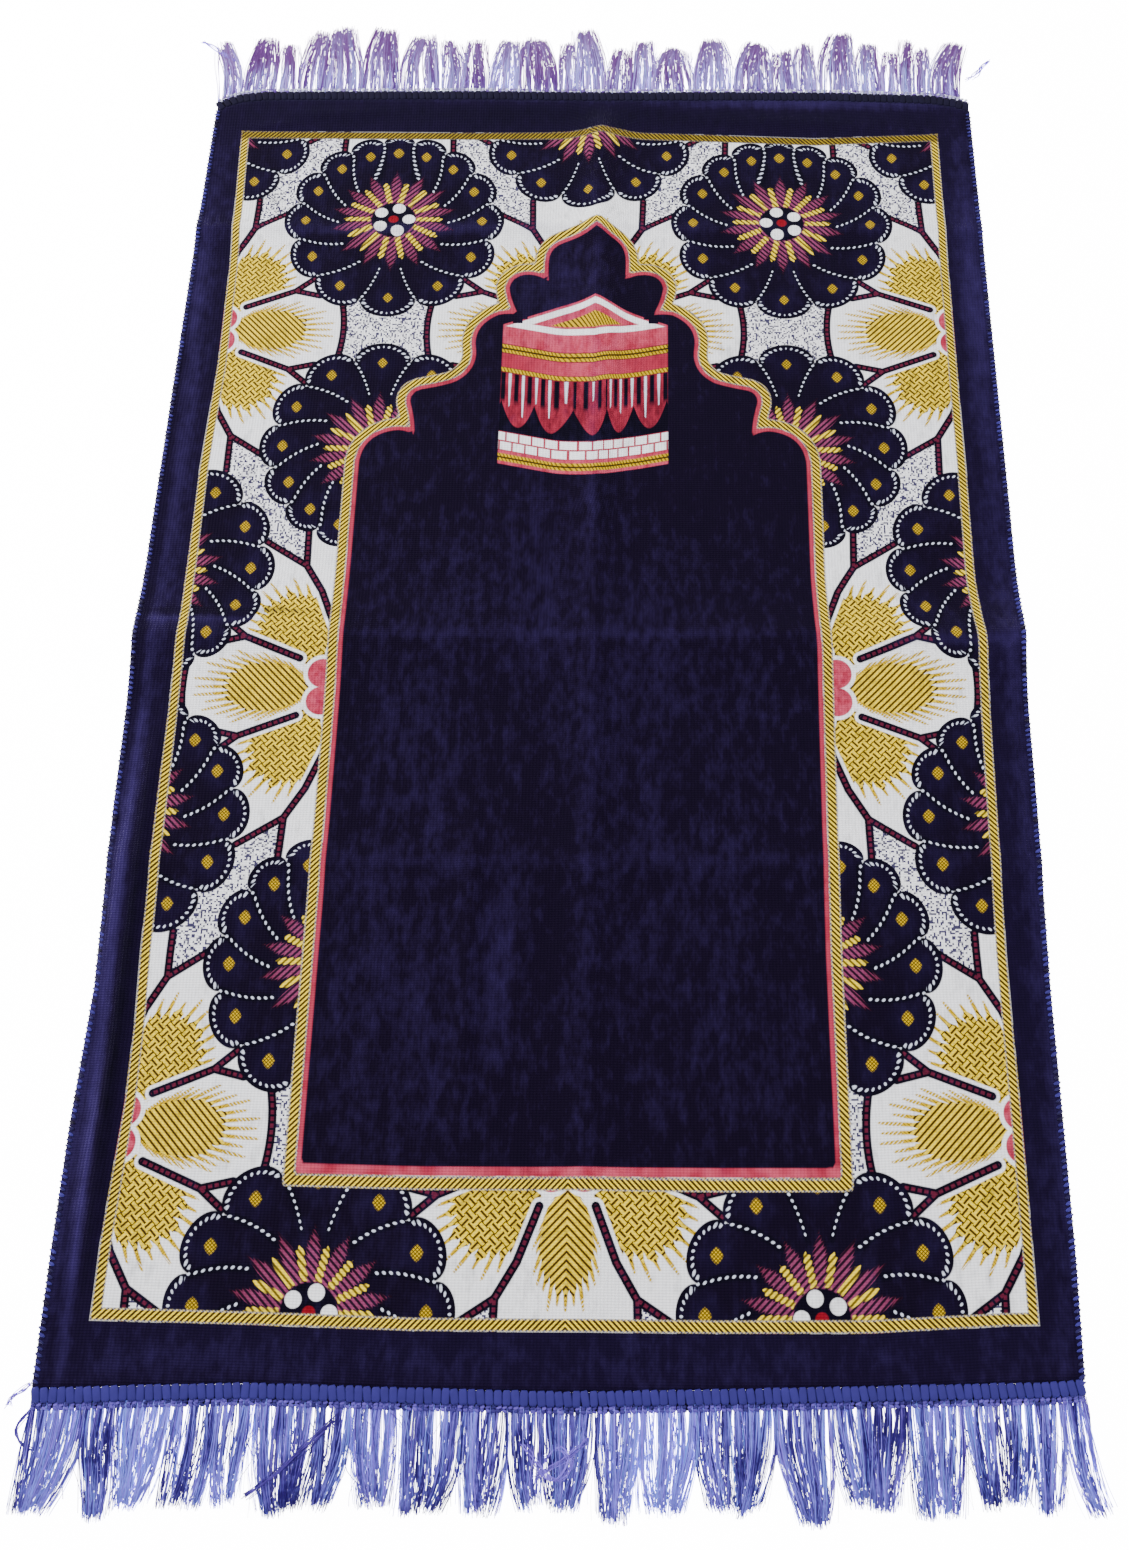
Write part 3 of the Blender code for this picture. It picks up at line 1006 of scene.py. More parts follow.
def house_group(palette):
    """A draped box with a gabled top: brick foot, scalloped hangings, drops and gold bands."""
    tree, (x, along), leave = start_group("house", ("Across", "Along"), ("Color", "Cover", "Gold"))
    away = x.size()
    foot = away * (HOUSE_SLOPE / HOUSE_HALF) + (HOUSE_FOOT - HOUSE_SLOPE)
    rise = along - foot

    def level(low, high):
        """1 between two heights above the foot."""
        return (rise - (low + high) / 2).size().under((high - low) / 2, EDGE)

    def banded(under, *bands):
        """Level bands over a colour, each from a low to a high edge."""
        for low, high, over in bands:
            under = paint(tree, level(low, high), under, over)
        return under

    mottle = noise(tree, 130.0, 3.0, (1.0, 0.45, 1.0), 0.7)
    pink = paint(tree, mottle.over(0.54, 0.25), palette.pink, palette.crimson)
    twist = (x + rise * 0.5).swing(1.5)
    gold = paint(tree, twist.under(0.6, 0.7) * 0.8, palette.gold, palette.gold_dark)
    length, height = BRICK
    row = ((rise - BRICK_FOOT) / height).whole()
    joint = length / 2 - (x + row * (length / 2)).swing(length / 2)
    joint = joint.least((rise - BRICK_FOOT).swing(height / 2))
    bricks = paint(tree, joint.over(0.75, 0.6), palette.crimson, palette.white)
    colour = banded(
        pink,
        (3.0, 10.0, gold),
        (5.6, 7.2, palette.gold_dark),
        (BRICK_FOOT, 31.0, bricks),
        (31.0, HANGING_TOP, palette.navy_dark),
    )

    below_top = rise.under(HANGING_TOP, EDGE)
    scallop = x.swing(SCALLOP) / SCALLOP
    hanging = (rise - scallop * scallop * 24.0).over(37.0, 1.2) * below_top
    cloth = paint(tree, mottle.over(0.5, 0.3), palette.crimson, palette.crimson_deep)
    colour = paint(tree, hanging, colour, cloth)
    drop = away.over(9.0, 0.1).choose(away, (away - 17.5).swing(DROP_STEP))
    slit = away.over(12.0, 0.1).choose((away - 6.0).size(), DROP_STEP - drop)
    slits = slit.under(1.8, 0.9) * rise.over(60.0, 6.0) * below_top
    colour = paint(tree, slits, colour, palette.navy_dark)
    above_end = along - ((x * 0.31 + 1.0).sine() * 7.0 + 206.0)
    drops = drop.under(above_end.least(24.0) * 0.03 + 0.4, 0.7)
    drops = drops * above_end.over(0.0, 1.0) * below_top
    colour = paint(tree, drops, colour, palette.pearl)
    colour = banded(
        colour,
        (88.2, 94.0, palette.crimson_deep),
        (89.2, 93.2, gold),
        (94.0, 107.0, paint(tree, away.over(30.0, 60.0), pink, palette.crimson)),
        (107.2, 117.2, palette.crimson_deep),
        (108.2, 116.2, gold),
        (111.3, 113.1, palette.gold_dark),
    )

    top = (316.0 - away * (26.0 / HOUSE_HALF) - along) * 0.93
    gable = (along - away * (HOUSE_SLOPE / HOUSE_HALF) - 277.0) * 0.98
    inside = top.least(gable)
    white_line = inside.over(0.0, EDGE) * inside.under(6.0, EDGE)
    colour = paint(tree, white_line, colour, palette.white)
    middle = top.over(13.0, 1.0) * gable.over(8.0, 1.0)
    gable_gold = paint(tree, twist.under(0.6, 0.8), palette.gold, palette.gold_dark)
    colour = paint(tree, middle, colour, gable_gold)
    cover = away.under(HOUSE_HALF + 1.0, EDGE) * rise.over(0.0, EDGE) * top.over(-2.5, EDGE)
    bands = level(3.0, 10.0).most((rise - 112.2).size().under(4.2, EDGE)).most(middle)
    return end_group(tree, leave, Color=colour, Cover=cover, Gold=bands * cover)


def pile_group():
    """Velvet pile: the painted sheen and painted shade marks with random streaks of tone, and the
    fine ribs of the pile as a height.
    """
    tree, (x, along, sheen_and_shade), leave = start_group(
        "pile_painted_light", ("Layout Across", "Layout Along", "Sheen And Shade"), ("Brushed", "Rough", "Height")
    )
    streaks = noise(tree, 24.0, 3.0, (1.0, 0.22, 1.0), 0.6)
    fine = noise(tree, 160.0, 2.0, (1.0, 0.45, 1.0), 0.6)
    combed = noise(tree, 90.0, 3.0, (1.0, 0.12, 1.0), 0.7)
    # above 0 this paints sheen and below 0 shade, from the marks and from random streaks of tone
    brushed = sheen_and_shade * 0.9 + (streaks - 0.5) * 0.8 + (combed - 0.5) * 0.7 + (fine - 0.5) * 2.2
    rough = 0.86 - brushed.math("MULTIPLY", 0.12, clamp=True)
    rows = (along * (math.pi / PILE_ROW)).sine() * 0.5
    columns = (x * (math.pi / PILE_COLUMN)).sine() * 0.5
    height = rows + columns + fine * 1.5
    return end_group(tree, leave, Brushed=brushed, Rough=rough, Height=height)


# ==== finishes


def cloth_finishes(palette):
    """The five finishes of the cloth, in the order that choose_regions gives them out."""
    pile = pile_group()
    border = new_material("border_velvet")
    dress_pile(border, pile, palette.navy_border, None, palette)

    flowers = new_material("flower_velvet")
    colour, gold = flower_band(flowers.node_tree, palette)
    dress_pile(flowers, pile, colour, gold, palette)

    field = new_material("field_velvet")
    dress_pile(field, pile, palette.navy, None, palette)

    draped = new_material("house_velvet")
    tree = draped.node_tree
    x, along = read_layout(tree)
    box = place_group(tree, house_group(palette), {"Across": x, "Along": along})
    colour = paint(tree, box["Cover"], palette.navy, box["Color"])
    dress_pile(draped, pile, colour, box["Gold"], palette)

    return border, flowers, field, draped, back_finish(palette)


def flower_band(tree, palette):
    """Colour of the flower band between its two ropes, and where it is gold."""
    fan, rosette, rope = fan_group(palette), rosette_group(palette), rope_group(palette)
    x, along = read_layout(tree)
    fold_x = x.size()
    place = {"Layout Across": fold_x, "Layout Along": along}
    column = fold_x.swing(COLUMN_PITCH)
    row = (along - FAN_ROW).swing(ROW_PITCH)
    low_half = row.under(ROW_PITCH / 2, 0.01)
    fan_x = low_half.choose(COLUMN_PITCH - column, column)
    fan_y = low_half.choose(ROW_PITCH - row, row)
    ground = place_group(tree, fan, {"Across": fan_x, "Along": fan_y, **place})
    first_x, first_y = fold_x - COLUMN_PITCH, row - ROSETTE_ROWS[0]
    second_x, second_y = column, row - ROSETTE_ROWS[1]
    nearer = (span(second_x, second_y) - span(first_x, first_y)).over(0.0, 0.01)
    bloom_x, bloom_y = nearer.choose(second_x, first_x), nearer.choose(second_y, first_y)
    bloom = place_group(tree, rosette, {"Across": bloom_x, "Along": bloom_y})
    colour = paint(tree, bloom["Cover"], ground["Color"], bloom["Color"])
    gold = bloom["Cover"].choose(ground["Gold"], bloom["Gold"])

    distance = read_number(tree, "niche_distance")
    depth = distance - SIDE_PINK
    arch = place_group(tree, rope, {"Depth": depth, "Width": ROPE_WIDTH, **place})
    above_foot = along.over(REDDER_FROM, 6.0) * 0.7
    redder = noise(tree, 70.0, 1.0).over(0.5, 0.3).most(above_foot)
    pink = paint(tree, redder, palette.pink, palette.crimson)
    colour = paint(tree, depth.under(0.0, 0.9), colour, pink)
    colour = paint(tree, arch["Cover"], colour, arch["Color"])
    colour = paint(tree, distance.under(0.0, 0.9), colour, palette.navy)

    from_end = FRAME_HALF_LENGTH - (along - LAYOUT_CENTRE).size()
    inset = ((FRAME_HALF_WIDTH - fold_x) * 1.12).least(from_end)
    edge = place_group(tree, rope, {"Depth": inset, "Width": ROPE_WIDTH, **place})
    # painted shade on the far rope, where its pile leans away from the light
    far_rope_shade_mask = (along - LAYOUT_CENTRE).over(FRAME_HALF_LENGTH - ROPE_MARGIN, 3.0)
    edge_colour = paint(tree, far_rope_shade_mask * FAR_ROPE_SHADE, edge["Color"], palette.gold_dark)
    colour = paint(tree, edge["Cover"], colour, edge_colour)
    colour = paint(tree, inset.under(0.0, 0.9), colour, palette.navy_border)
    gold = gold * depth.over(ROPE_MARGIN, 1.0) * inset.over(ROPE_MARGIN, 1.0)
    return colour, gold.most(arch["Cover"]).most(edge["Cover"])


def dress_pile(material, pile, colour, gold, palette):
    """Finish a cloth region's material: pile colour with painted sheen and painted shade, softer
    gold, ribs and sheen.
    """
    tree = material.node_tree
    x, along = read_layout(tree)
    sheen_and_shade = read_number(tree, "sheen_and_shade")
    brushed = place_group(tree, pile, {"Layout Across": x, "Layout Along": along, "Sheen And Shade": sheen_and_shade})
    # painted sheen lightens the pile towards the sheen navy, and painted shade darkens it towards
    # dark navy
    light = brushed["Brushed"].math("MULTIPLY", 0.27, clamp=True)
    shade = brushed["Brushed"].math("MULTIPLY", -0.5, clamp=True)
    rough = brushed["Rough"]
    if gold is not None:
        light = light * (1.0 - gold * 0.9) * 0.7
        rough = gold.choose(rough, 0.5)
    colour = paint(tree, light, colour, palette.navy_painted_sheen)
    colour = paint(tree, shade, colour, palette.navy_dark)
    surface(
        material,
        {
            "Base Color": colour,
            "Roughness": rough,
            "Sheen Weight": PILE_SHEEN,
            "Sheen Roughness": PILE_SHEEN_ROUGHNESS,
            "Sheen Tint": palette.sheen,
            "Specular IOR Level": PILE_SPECULAR,
        },
    )
    relief(material, brushed["Height"], PILE_RELIEF)


def back_finish(palette):
    """The plain woven underside, in two dark yarns."""
    material = new_material("woven_back")
    tree = material.node_tree
    x, along = read_layout(tree)
    over = (x * (math.pi / BACK_COLUMN)).sine() * (along * (math.pi / BACK_ROW)).sine()
    colour = paint(tree, over.over(0.0, EDGE), palette.back_dark, palette.back_light)
    surface(material, {"Base Color": colour, "Roughness": 0.9})
    relief(material, over, PILE_RELIEF)
    return material


def yarn_group():
    """Twisted yarn: a shade for each thread, drifting along it, and the twist as a height."""
    tree, (shade,), leave = start_group("yarn", ("Shade",), ("Mix", "Height"))
    drift = noise(tree, 220.0, 2.0)
    twist = noise(tree, 900.0, 1.0)
    mix = (shade + (drift - 0.5) * 0.5).math("MULTIPLY", 1.0, clamp=True)
    return end_group(tree, leave, Mix=mix, Height=twist)


def thread_finish(name, dark, light, roughness, tip=None, cool=None):
    """Silky yarn between a dark and a light colour, with cooler threads and other tips."""
    material = new_material(name)
    tree = material.node_tree
    group = bpy.data.node_groups.get("yarn") or yarn_group()
    yarn = place_group(tree, group, {"Shade": read_number(tree, "shade")})
    colour = paint(tree, yarn["Mix"], dark, light)
    if cool is not None:
        colour = paint(tree, read_number(tree, "tint") * yarn["Mix"] * 0.8, colour, cool)
    if tip is not None:
        mask = (read_number(tree, "run") + (0.6 - yarn["Mix"]) * 0.6).over(0.55, 0.6)
        colour = paint(tree, mask * 0.85, colour, tip)
    surface(
        material,
        {
            "Base Color": colour,
            "Roughness": roughness,
            "Specular IOR Level": THREAD_SPECULAR,
        },
    )
    relief(material, yarn["Height"], THREAD_RELIEF)
    return material


def floor_finish(glow):
    """A pale matt floor that gives back a little light, with the faintest mottling."""
    material = new_material("pale_floor")
    tree = material.node_tree
    colour = paint(tree, noise(tree, 6.0), *FLOOR_COLOURS)
    surface(
        material,
        {
            "Base Color": colour,
            "Roughness": 0.9,
            "Emission Color": (1.0, 1.0, 1.0),
            "Emission Strength": glow,
        },
    )
    return material


# ==== pieces


def model_cloth(sizes):
    """The woven cloth as a closed thin sheet: pile side, underside and a rounded rim."""
    across, along = sizes.cells_across, sizes.cells_along
    ring = (across + 1) * (along + 1)
    top, bottom, layout = [], [], []
    for row in range(along + 1):
        for column in range(across + 1):
            x, y = cloth_place(column / across, row / along)
            floor = ridge_height(x, y)
            raised = floor + crease_height(x, y)
            top.append((x, y, raised + CLOTH_THICKNESS))
            under = max(raised - sizes.crease_give, 0.0) if raised > floor else floor
            bottom.append((x, y, under))
            layout.append(layout_place(x, y))
    points = top + bottom
    faces = []
    for row in range(along):
        for column in range(across):
            a = row * (across + 1) + column
            b, c, d = a + 1, a + across + 2, a + across + 1
            faces.append((a, b, c, d))
            faces.append((ring + d, ring + c, ring + b, ring + a))
    border = list(range(across + 1))
    border += [row * (across + 1) + across for row in range(1, along + 1)]
    border += [along * (across + 1) + column for column in range(across - 1, -1, -1)]
    border += [row * (across + 1) for row in range(along - 1, 0, -1)]
    middles = {}
    for corner in border:
        x, y, high = top[corner]
        low = bottom[corner][2]
        bulge = sizes.rim_bulge
        left = corner % (across + 1) == 0
        right = corner % (across + 1) == across
        middles[corner] = len(points)
        points.append((x + bulge * (int(right) - int(left)), y, (high + low) / 2))
        layout.append(layout[corner])
    for corner, following in zip(border, border[1:] + border[:1]):
        faces.append((corner, middles[corner], middles[following], following))
        faces.append((middles[corner], ring + corner, ring + following, middles[following]))
    cloth = new_mesh("velvet_cloth", points, faces)
    places = np.array(layout[:ring] + layout[:ring] + layout[ring:])
    distances = niche_distances(places)
    store_numbers(cloth, "niche_distance", distances)
    # painted sheen and painted shade of the pile, kept for each vertex
    store_numbers(cloth, "sheen_and_shade", [sheen_and_shade_mark(x, y) for x, y, z in points])
    layer = cloth.data.uv_layers.new(name="weave_layout")
    corners = np.zeros(len(cloth.data.loops), dtype=np.int32)
    cloth.data.loops.foreach_get("vertex_index", corners)
    layer.data.foreach_set("uv", (places[corners] / 1000.0).astype(np.float32).ravel())
    choose_regions(cloth, places, distances)
    return cloth


def choose_regions(cloth, places, distances):
    """Give each face the finish of its region: border, flower band, field, house or underside."""
    half_width, near, far = HOUSE_REGION
    for face in cloth.data.polygons:
        across, along = np.abs(places[face.vertices[0]][0]), places[face.vertices[0]][1]
        distance = max(distances[vertex] for vertex in face.vertices)
        from_end = abs(along - LAYOUT_CENTRE) - FRAME_HALF_LENGTH
        if face.normal.z < -0.5:
            face.material_index = 4
        elif abs(face.normal.z) < 0.3:
            face.material_index = 0
        elif max(across - FRAME_HALF_WIDTH, from_end) > BORDER_MARGIN:
            face.material_index = 0
        elif distance > -FIELD_MARGIN:
            face.material_index = 1
        elif across < half_width and near < along < far:
            face.material_index = 3
        else:
            face.material_index = 2
        face.use_smooth = True


def draw_clumps(seed, lock_length, clump_scatter):
    """The solid's locks again: each one's gather, lean and length, and the number of its clump."""
    draw = random.Random(seed)
    locks = []
    clump = 0
    while len(locks) < LOCKS_PER_END:
        first = len(locks)
        count = min(draw.choice(CLUMP_SIZES), LOCKS_PER_END - first)
        lean = draw.uniform(-CLUMP_LEAN, CLUMP_LEAN)
        if first == 0:
            lean = -CORNER_LEAN
        elif first + count == LOCKS_PER_END:
            lean = CORNER_LEAN
        clump_length = lock_length + draw.uniform(-clump_scatter, clump_scatter)
        for lock in range(count):
            gather = ((count - 1) / 2 - lock) * LOCK_PITCH * CLUMP_GATHER
            length = clump_length + draw.uniform(-LOCK_SCATTER, LOCK_SCATTER)
            locks.append((gather, lean, length, clump))
        clump += 1
    return locks


def thread_tubes(name, paths, radii, shades, tints):
    """Threads as one mesh of three-sided tubes, from a path, radius and shade at each point."""
    paths, radii, shades = np.array(paths), np.array(radii), np.array(shades)
    threads, points = paths.shape[:2]
    heading = np.gradient(paths, axis=1)
    heading /= np.linalg.norm(heading, axis=2, keepdims=True) + 1e-12
    side = np.cross(heading, (0.0, 0.0, 1.0))
    side /= np.linalg.norm(side, axis=2, keepdims=True) + 1e-12
    up = np.cross(side, heading)
    rings = []
    for corner in range(3):
        angle = math.tau * corner / 3
        rings.append(paths + radii[..., None] * (up * math.cos(angle) + side * math.sin(angle)))
    corners = np.stack(rings, axis=2).reshape(-1, 3)
    corners[:, 2] = np.maximum(corners[:, 2], THREAD_FLOOR)
    faces = []
    for thread in range(threads):
        start = thread * points * 3
        faces.append((start, start + 1, start + 2))
        for point in range(points - 1):
            ring = start + point * 3
            for corner in range(3):
                a, b = ring + corner, ring + (corner + 1) % 3
                faces.append((a, a + 3, b + 3, b))
        last = start + (points - 1) * 3
        faces.append((last + 2, last + 1, last))
    piece = new_mesh(name, corners.tolist(), faces)
    piece.data.shade_smooth()
    store_numbers(piece, "shade", np.repeat(shades.ravel(), 3))
    store_numbers(piece, "tint", np.repeat(np.array(tints).ravel(), 3))
    store_numbers(piece, "run", np.tile(np.repeat(np.linspace(0.0, 1.0, points), 3), threads))
    return piece


def model_fringe(end, sizes):
    """One end's fringe: every lock is a handful of fine silky threads over the solid's lock."""
    facing, lock_length, clump_scatter, seed = ENDS[end]
    chance = np.random.RandomState(seed)
    left, right = heading_span(facing)
    run = np.linspace(0.0, 1.0, sizes.thread_points)
    clump_shades = chance.normal(0.0, 1.0, LOCKS_PER_END)
    dark_patch_places = chance.uniform(*DARK_PATCH_PLACES, LOCKS_PER_END)
    dark_patch_depths = np.maximum(chance.uniform(*DARK_PATCH_DEPTHS, LOCKS_PER_END), 0.0)
    sways = chance.uniform(-LOCK_SWAY, LOCK_SWAY, LOCKS_PER_END)
    sway_turns = chance.uniform(0.0, math.tau, LOCKS_PER_END)
    full, wide = END_FULLNESS[end]
    own_threads = int(sizes.threads_per_lock * full)
    mean_shade, by_clump, by_strand, by_thread = SHADE
    paths, radii, shades, tints = [], [], [], []
    locks = draw_clumps(seed, lock_length, clump_scatter)
    for lock, (gather, lean, length, clump) in enumerate(locks):
        middle = (lock + 0.5) * LOCK_PITCH - RUG_WIDTH / 2
        if not left + LOCK_ROOT_WIDTH / 2 <= middle <= right - LOCK_ROOT_WIDTH / 2:
            continue
        darkening = dark_patch_depths[clump] * np.exp(-(((run - dark_patch_places[clump]) / DARK_PATCH_REACH) ** 2))
        spans = [dark for start, stop, dark in DARK_SPANS[end] if start <= middle <= stop]
        darkening += max([0.0, *spans])
        sway = sways[clump] * np.sin(run * SWAY_TURN + sway_turns[clump]) * run
        strands = [
            (chance.uniform(-1.0, 1.0), chance.normal(), chance.normal())
            for _ in range(sizes.strands)
        ]
        for thread in range(own_threads + sizes.stray_threads):
            stray = thread >= own_threads
            strand_place, strand_shade, strand_swing = strands[thread % sizes.strands]
            spread = np.clip(strand_place + chance.normal(0.0, STRAND_WIDTH), -1.0, 1.0)
            layer = (thread // sizes.strands) % sizes.thread_layers
            root = middle + spread * LOCK_PITCH * sizes.root_spread / 2
            scatter = sizes.tip_scatter * (sizes.stray_scatter if stray else 1.0)
            swing = spread * LOCK_PITCH * (sizes.tip_spread * wide - sizes.root_spread) / 2
            swing += gather * sizes.gather_growth + lean
            swing += strand_swing * sizes.tip_scatter + chance.normal(0.0, scatter) * STRAND_SCATTER
            belly = spread * LOCK_PITCH * sizes.belly_spread * wide / 2 * np.sin(run * math.pi)
            reach = length * chance.uniform(sizes.shortest_thread, 1.0)
            wave = chance.uniform(*WAVES) * (STRAY_WAVE if stray else 1.0)
            wave_turn = run * chance.uniform(*WAVE_TURNS) + chance.uniform(0.0, math.tau)
            wave = wave * np.sin(wave_turn) * run
            x = root + swing * run**2 + belly + sway + wave
            y = heading_edge(root, facing) + facing * (reach * run - THREAD_TUCK * (1.0 - run))
            lift = np.sin(run * math.pi) ** 2 * chance.uniform(0.0, sizes.thread_lift)
            rise = layer * sizes.layer_rise * (1.0 - LAYER_SINK * run)
            z = THREAD_FLOOR + sizes.thread_radius + rise + lift
            paths.append(np.stack([x, y, z], axis=1))
            thickness = sizes.thread_radius * (STRAY_THICKNESS if stray else 1.0)
            radii.append(thickness * (1.0 - THREAD_TAPER * run**2))
            own = mean_shade + by_clump * clump_shades[clump] + by_strand * strand_shade
            own += by_thread * chance.normal()
            own -= STRAY_SHADE if stray else 0.0
            # painted shade on the lowest layer of threads
            own -= FLOOR_SHADE if layer == 0 else 0.0
            shades.append(np.clip(own - darkening, 0.0, 1.0))
            tint = np.clip(TINT[0] + TINT[1] * chance.normal(), 0.0, 1.0)
            tints.append(np.full(len(run), tint))
    return thread_tubes(end + "_threads", paths, radii, shades, tints)


def rounded_block(name, size, rounding):
    """A small rounded block, modelled once and then copied many times."""
    bpy.ops.object.select_all(action="DESELECT")
    bpy.ops.mesh.primitive_cube_add(size=1.0)
    block = bpy.context.object
    block.name = name
    bpy.ops.object.mode_set(mode="EDIT")
    bpy.ops.mesh.select_all(action="SELECT")
    bpy.ops.mesh.bevel(offset=rounding, segments=1, affect="EDGES")
    bpy.ops.mesh.select_all(action="SELECT")
    bpy.ops.transform.resize(value=size)
    bpy.ops.object.mode_set(mode="OBJECT")
    return block


def repeat_block(name, block, placements, shades):
    """Copies of a block at many placements, as one mesh. The block itself is removed."""
    corners = np.array([(*vertex.co, 1.0) for vertex in block.data.vertices])
    shape = [tuple(face.vertices) for face in block.data.polygons]
    points = np.concatenate([corners @ np.array(placement).T for placement in placements])[:, :3]
    faces = []
    for copy in range(len(placements)):
        start = copy * len(corners)
        faces += [tuple(start + vertex for vertex in face) for face in shape]
    bpy.data.objects.remove(block)
    piece = new_mesh(name, points.tolist(), faces)
    piece.data.shade_smooth()
    store_numbers(piece, "shade", np.repeat(shades, len(corners)))
    store_numbers(piece, "tint", np.full(len(points), 0.5))
    return piece


def placed(place, turn, tilt, grow):
    """A placement: grown, tilted to a side, turned about the vertical and moved."""
    matrix = Matrix.Translation(place) @ Matrix.Rotation(turn, 4, "Z")
    return matrix @ Matrix.Rotation(tilt, 4, "Y") @ Matrix.Diagonal((*grow, 1.0))


def heading_span(facing):
    """The left and right end of a heading."""
    edge_y = facing * RUG_LENGTH / 2
    return side_edge(edge_y, -1), side_edge(edge_y, 1)


def heading_turn(x, facing):
    """How a heading is turned at a place, because the rug's end is not quite straight."""
    rise = heading_edge(x + TAPE_CELL, facing) - heading_edge(x - TAPE_CELL, facing)
    return math.atan2(rise, 2 * TAPE_CELL)


def model_heading_tape(end):
    """The tape that the fringe hangs from, with rounded edges, following the end of the cloth."""
    facing = ENDS[end][0]
    left, right = heading_span(facing)
    columns = int((right - left) / TAPE_CELL)
    points, faces = [], []
    for column in range(columns + 1):
        x = left + (right - left) * column / columns
        for inset, height in TAPE_PROFILE:
            points.append((x, heading_edge(x, facing) - facing * inset, height))
    around = len(TAPE_PROFILE)
    for column in range(columns):
        for corner in range(around):
            following = (corner + 1) % around
            a, b = column * around + corner, column * around + following
            face = (a, b, b + around, a + around)
            faces.append(face if facing > 0 else face[::-1])
    start_cap = tuple(range(around))
    end_cap = tuple(columns * around + corner for corner in range(around))
    faces.append(start_cap[::-1] if facing > 0 else start_cap)
    faces.append(end_cap if facing > 0 else end_cap[::-1])
    tape = new_mesh(end + "_tape", points, faces)
    close_outward(tape)
    tape.data.shade_smooth()
    return tape


def close_outward(piece):
    """Turn every face of a closed mesh outwards."""
    shell = bmesh.new()
    shell.from_mesh(piece.data)
    bmesh.ops.recalc_face_normals(shell, faces=shell.faces)
    shell.to_mesh(piece.data)
    shell.free()


def model_heading_pads(end, sizes):
    """Satin pads sewn over the tape side by side."""
    facing, _, _, seed = ENDS[end]
    chance = random.Random(seed + 100)
    left, right = heading_span(facing)
    count = int((right - left) / sizes.pad_pitch)
    block = rounded_block("pad", (sizes.pad_pitch * 0.97, PAD_LENGTH, PAD_HEIGHT), PAD_ROUNDING)
    placements, shades = [], []
    for pad in range(count):
        x = left + (pad + 0.5) * (right - left) / count
        y = heading_edge(x, facing) - facing * (HEADING_WIDTH + PAD_LAP - PAD_LENGTH / 2)
        slant = chance.uniform(-0.10, 0.10) + PAD_SLANT
        grow = [chance.uniform(*reach) for reach in ((0.94, 1.03), (0.92, 1.02), (0.95, 1.05))]
        placements.append(placed((x, y, PAD_MIDDLE), heading_turn(x, facing) + slant, 0.0, grow))
        shades.append(chance.uniform(0.40, 0.62))
    return repeat_block(end + "_pads", block, placements, shades)


def stitches_on(name, path, pitch, seed):
    """A chain of paired slanting stitches along a path of points."""
    chance = random.Random(seed)
    block = rounded_block("stitch", CHAIN_STITCH, STITCH_ROUNDING)
    points = [Vector(point) for point in path]
    placements, shades = [], []
    carried = 0.0
    for start, stop in zip(points[:-1], points[1:]):
        run = stop - start
        length = run.length
        while carried < length:
            here = start + run * (carried / length)
            turn = math.atan2(run.y, run.x)
            for hand in (-1, 1):
                aside = Vector((-run.y, run.x, 0.0)).normalized() * (hand * CHAIN_HALF)
                grow = (chance.uniform(0.9, 1.15), chance.uniform(0.85, 1.15), 1.0)
                placements.append(placed(here + aside, turn + hand * CHAIN_SPLAY, 0.0, grow))
                shades.append(chance.random())
            carried += pitch
        carried -= length
    return repeat_block(name, block, placements, shades)


def model_edge_chain(end, sizes):
    """The chain of stitches along the outer edge of a heading."""
    facing, _, _, seed = ENDS[end]
    left, right = heading_span(facing)
    count = int((right - left) / TAPE_CELL)
    path = []
    for step in range(count + 1):
        x = left + TAPE_CELL / 2 + (right - left - TAPE_CELL) * step / count
        path.append((x, heading_edge(x, facing) - facing * CHAIN_INSET, CHAIN_HEIGHT))
    return stitches_on(end + "_chain", path, sizes.chain_pitch, seed + 200)


def model_side_stitches(side, sizes):
    """Overcast stitches that wrap one long edge of the cloth."""
    chance = random.Random(40 + side)
    block = rounded_block("stitch", OVERCAST_STITCH, STITCH_ROUNDING)
    start, stop = -CLOTH_END + OVERCAST_ENDS[0], CLOTH_END - OVERCAST_ENDS[1]
    count = int((stop - start) / sizes.overcast_pitch)
    placements, shades = [], []
    for stitch in range(count):
        y = start + (stop - start) * stitch / count
        edge = side_edge(y, side)
        rise = ridge_height(edge, y) + crease_height(edge, y)
        slant = side * OVERCAST_SLANT + chance.uniform(-0.12, 0.12)
        grow = (chance.uniform(0.85, 1.15), chance.uniform(0.85, 1.1), 1.0)
        place = (edge - side * OVERCAST_INSET, y, rise + OVERCAST_HEIGHT)
        placements.append(placed(place, slant, side * OVERCAST_TILT, grow))
        shades.append(chance.random())
    name = "overcast_left" if side < 0 else "overcast_right"
    return repeat_block(name, block, placements, shades)


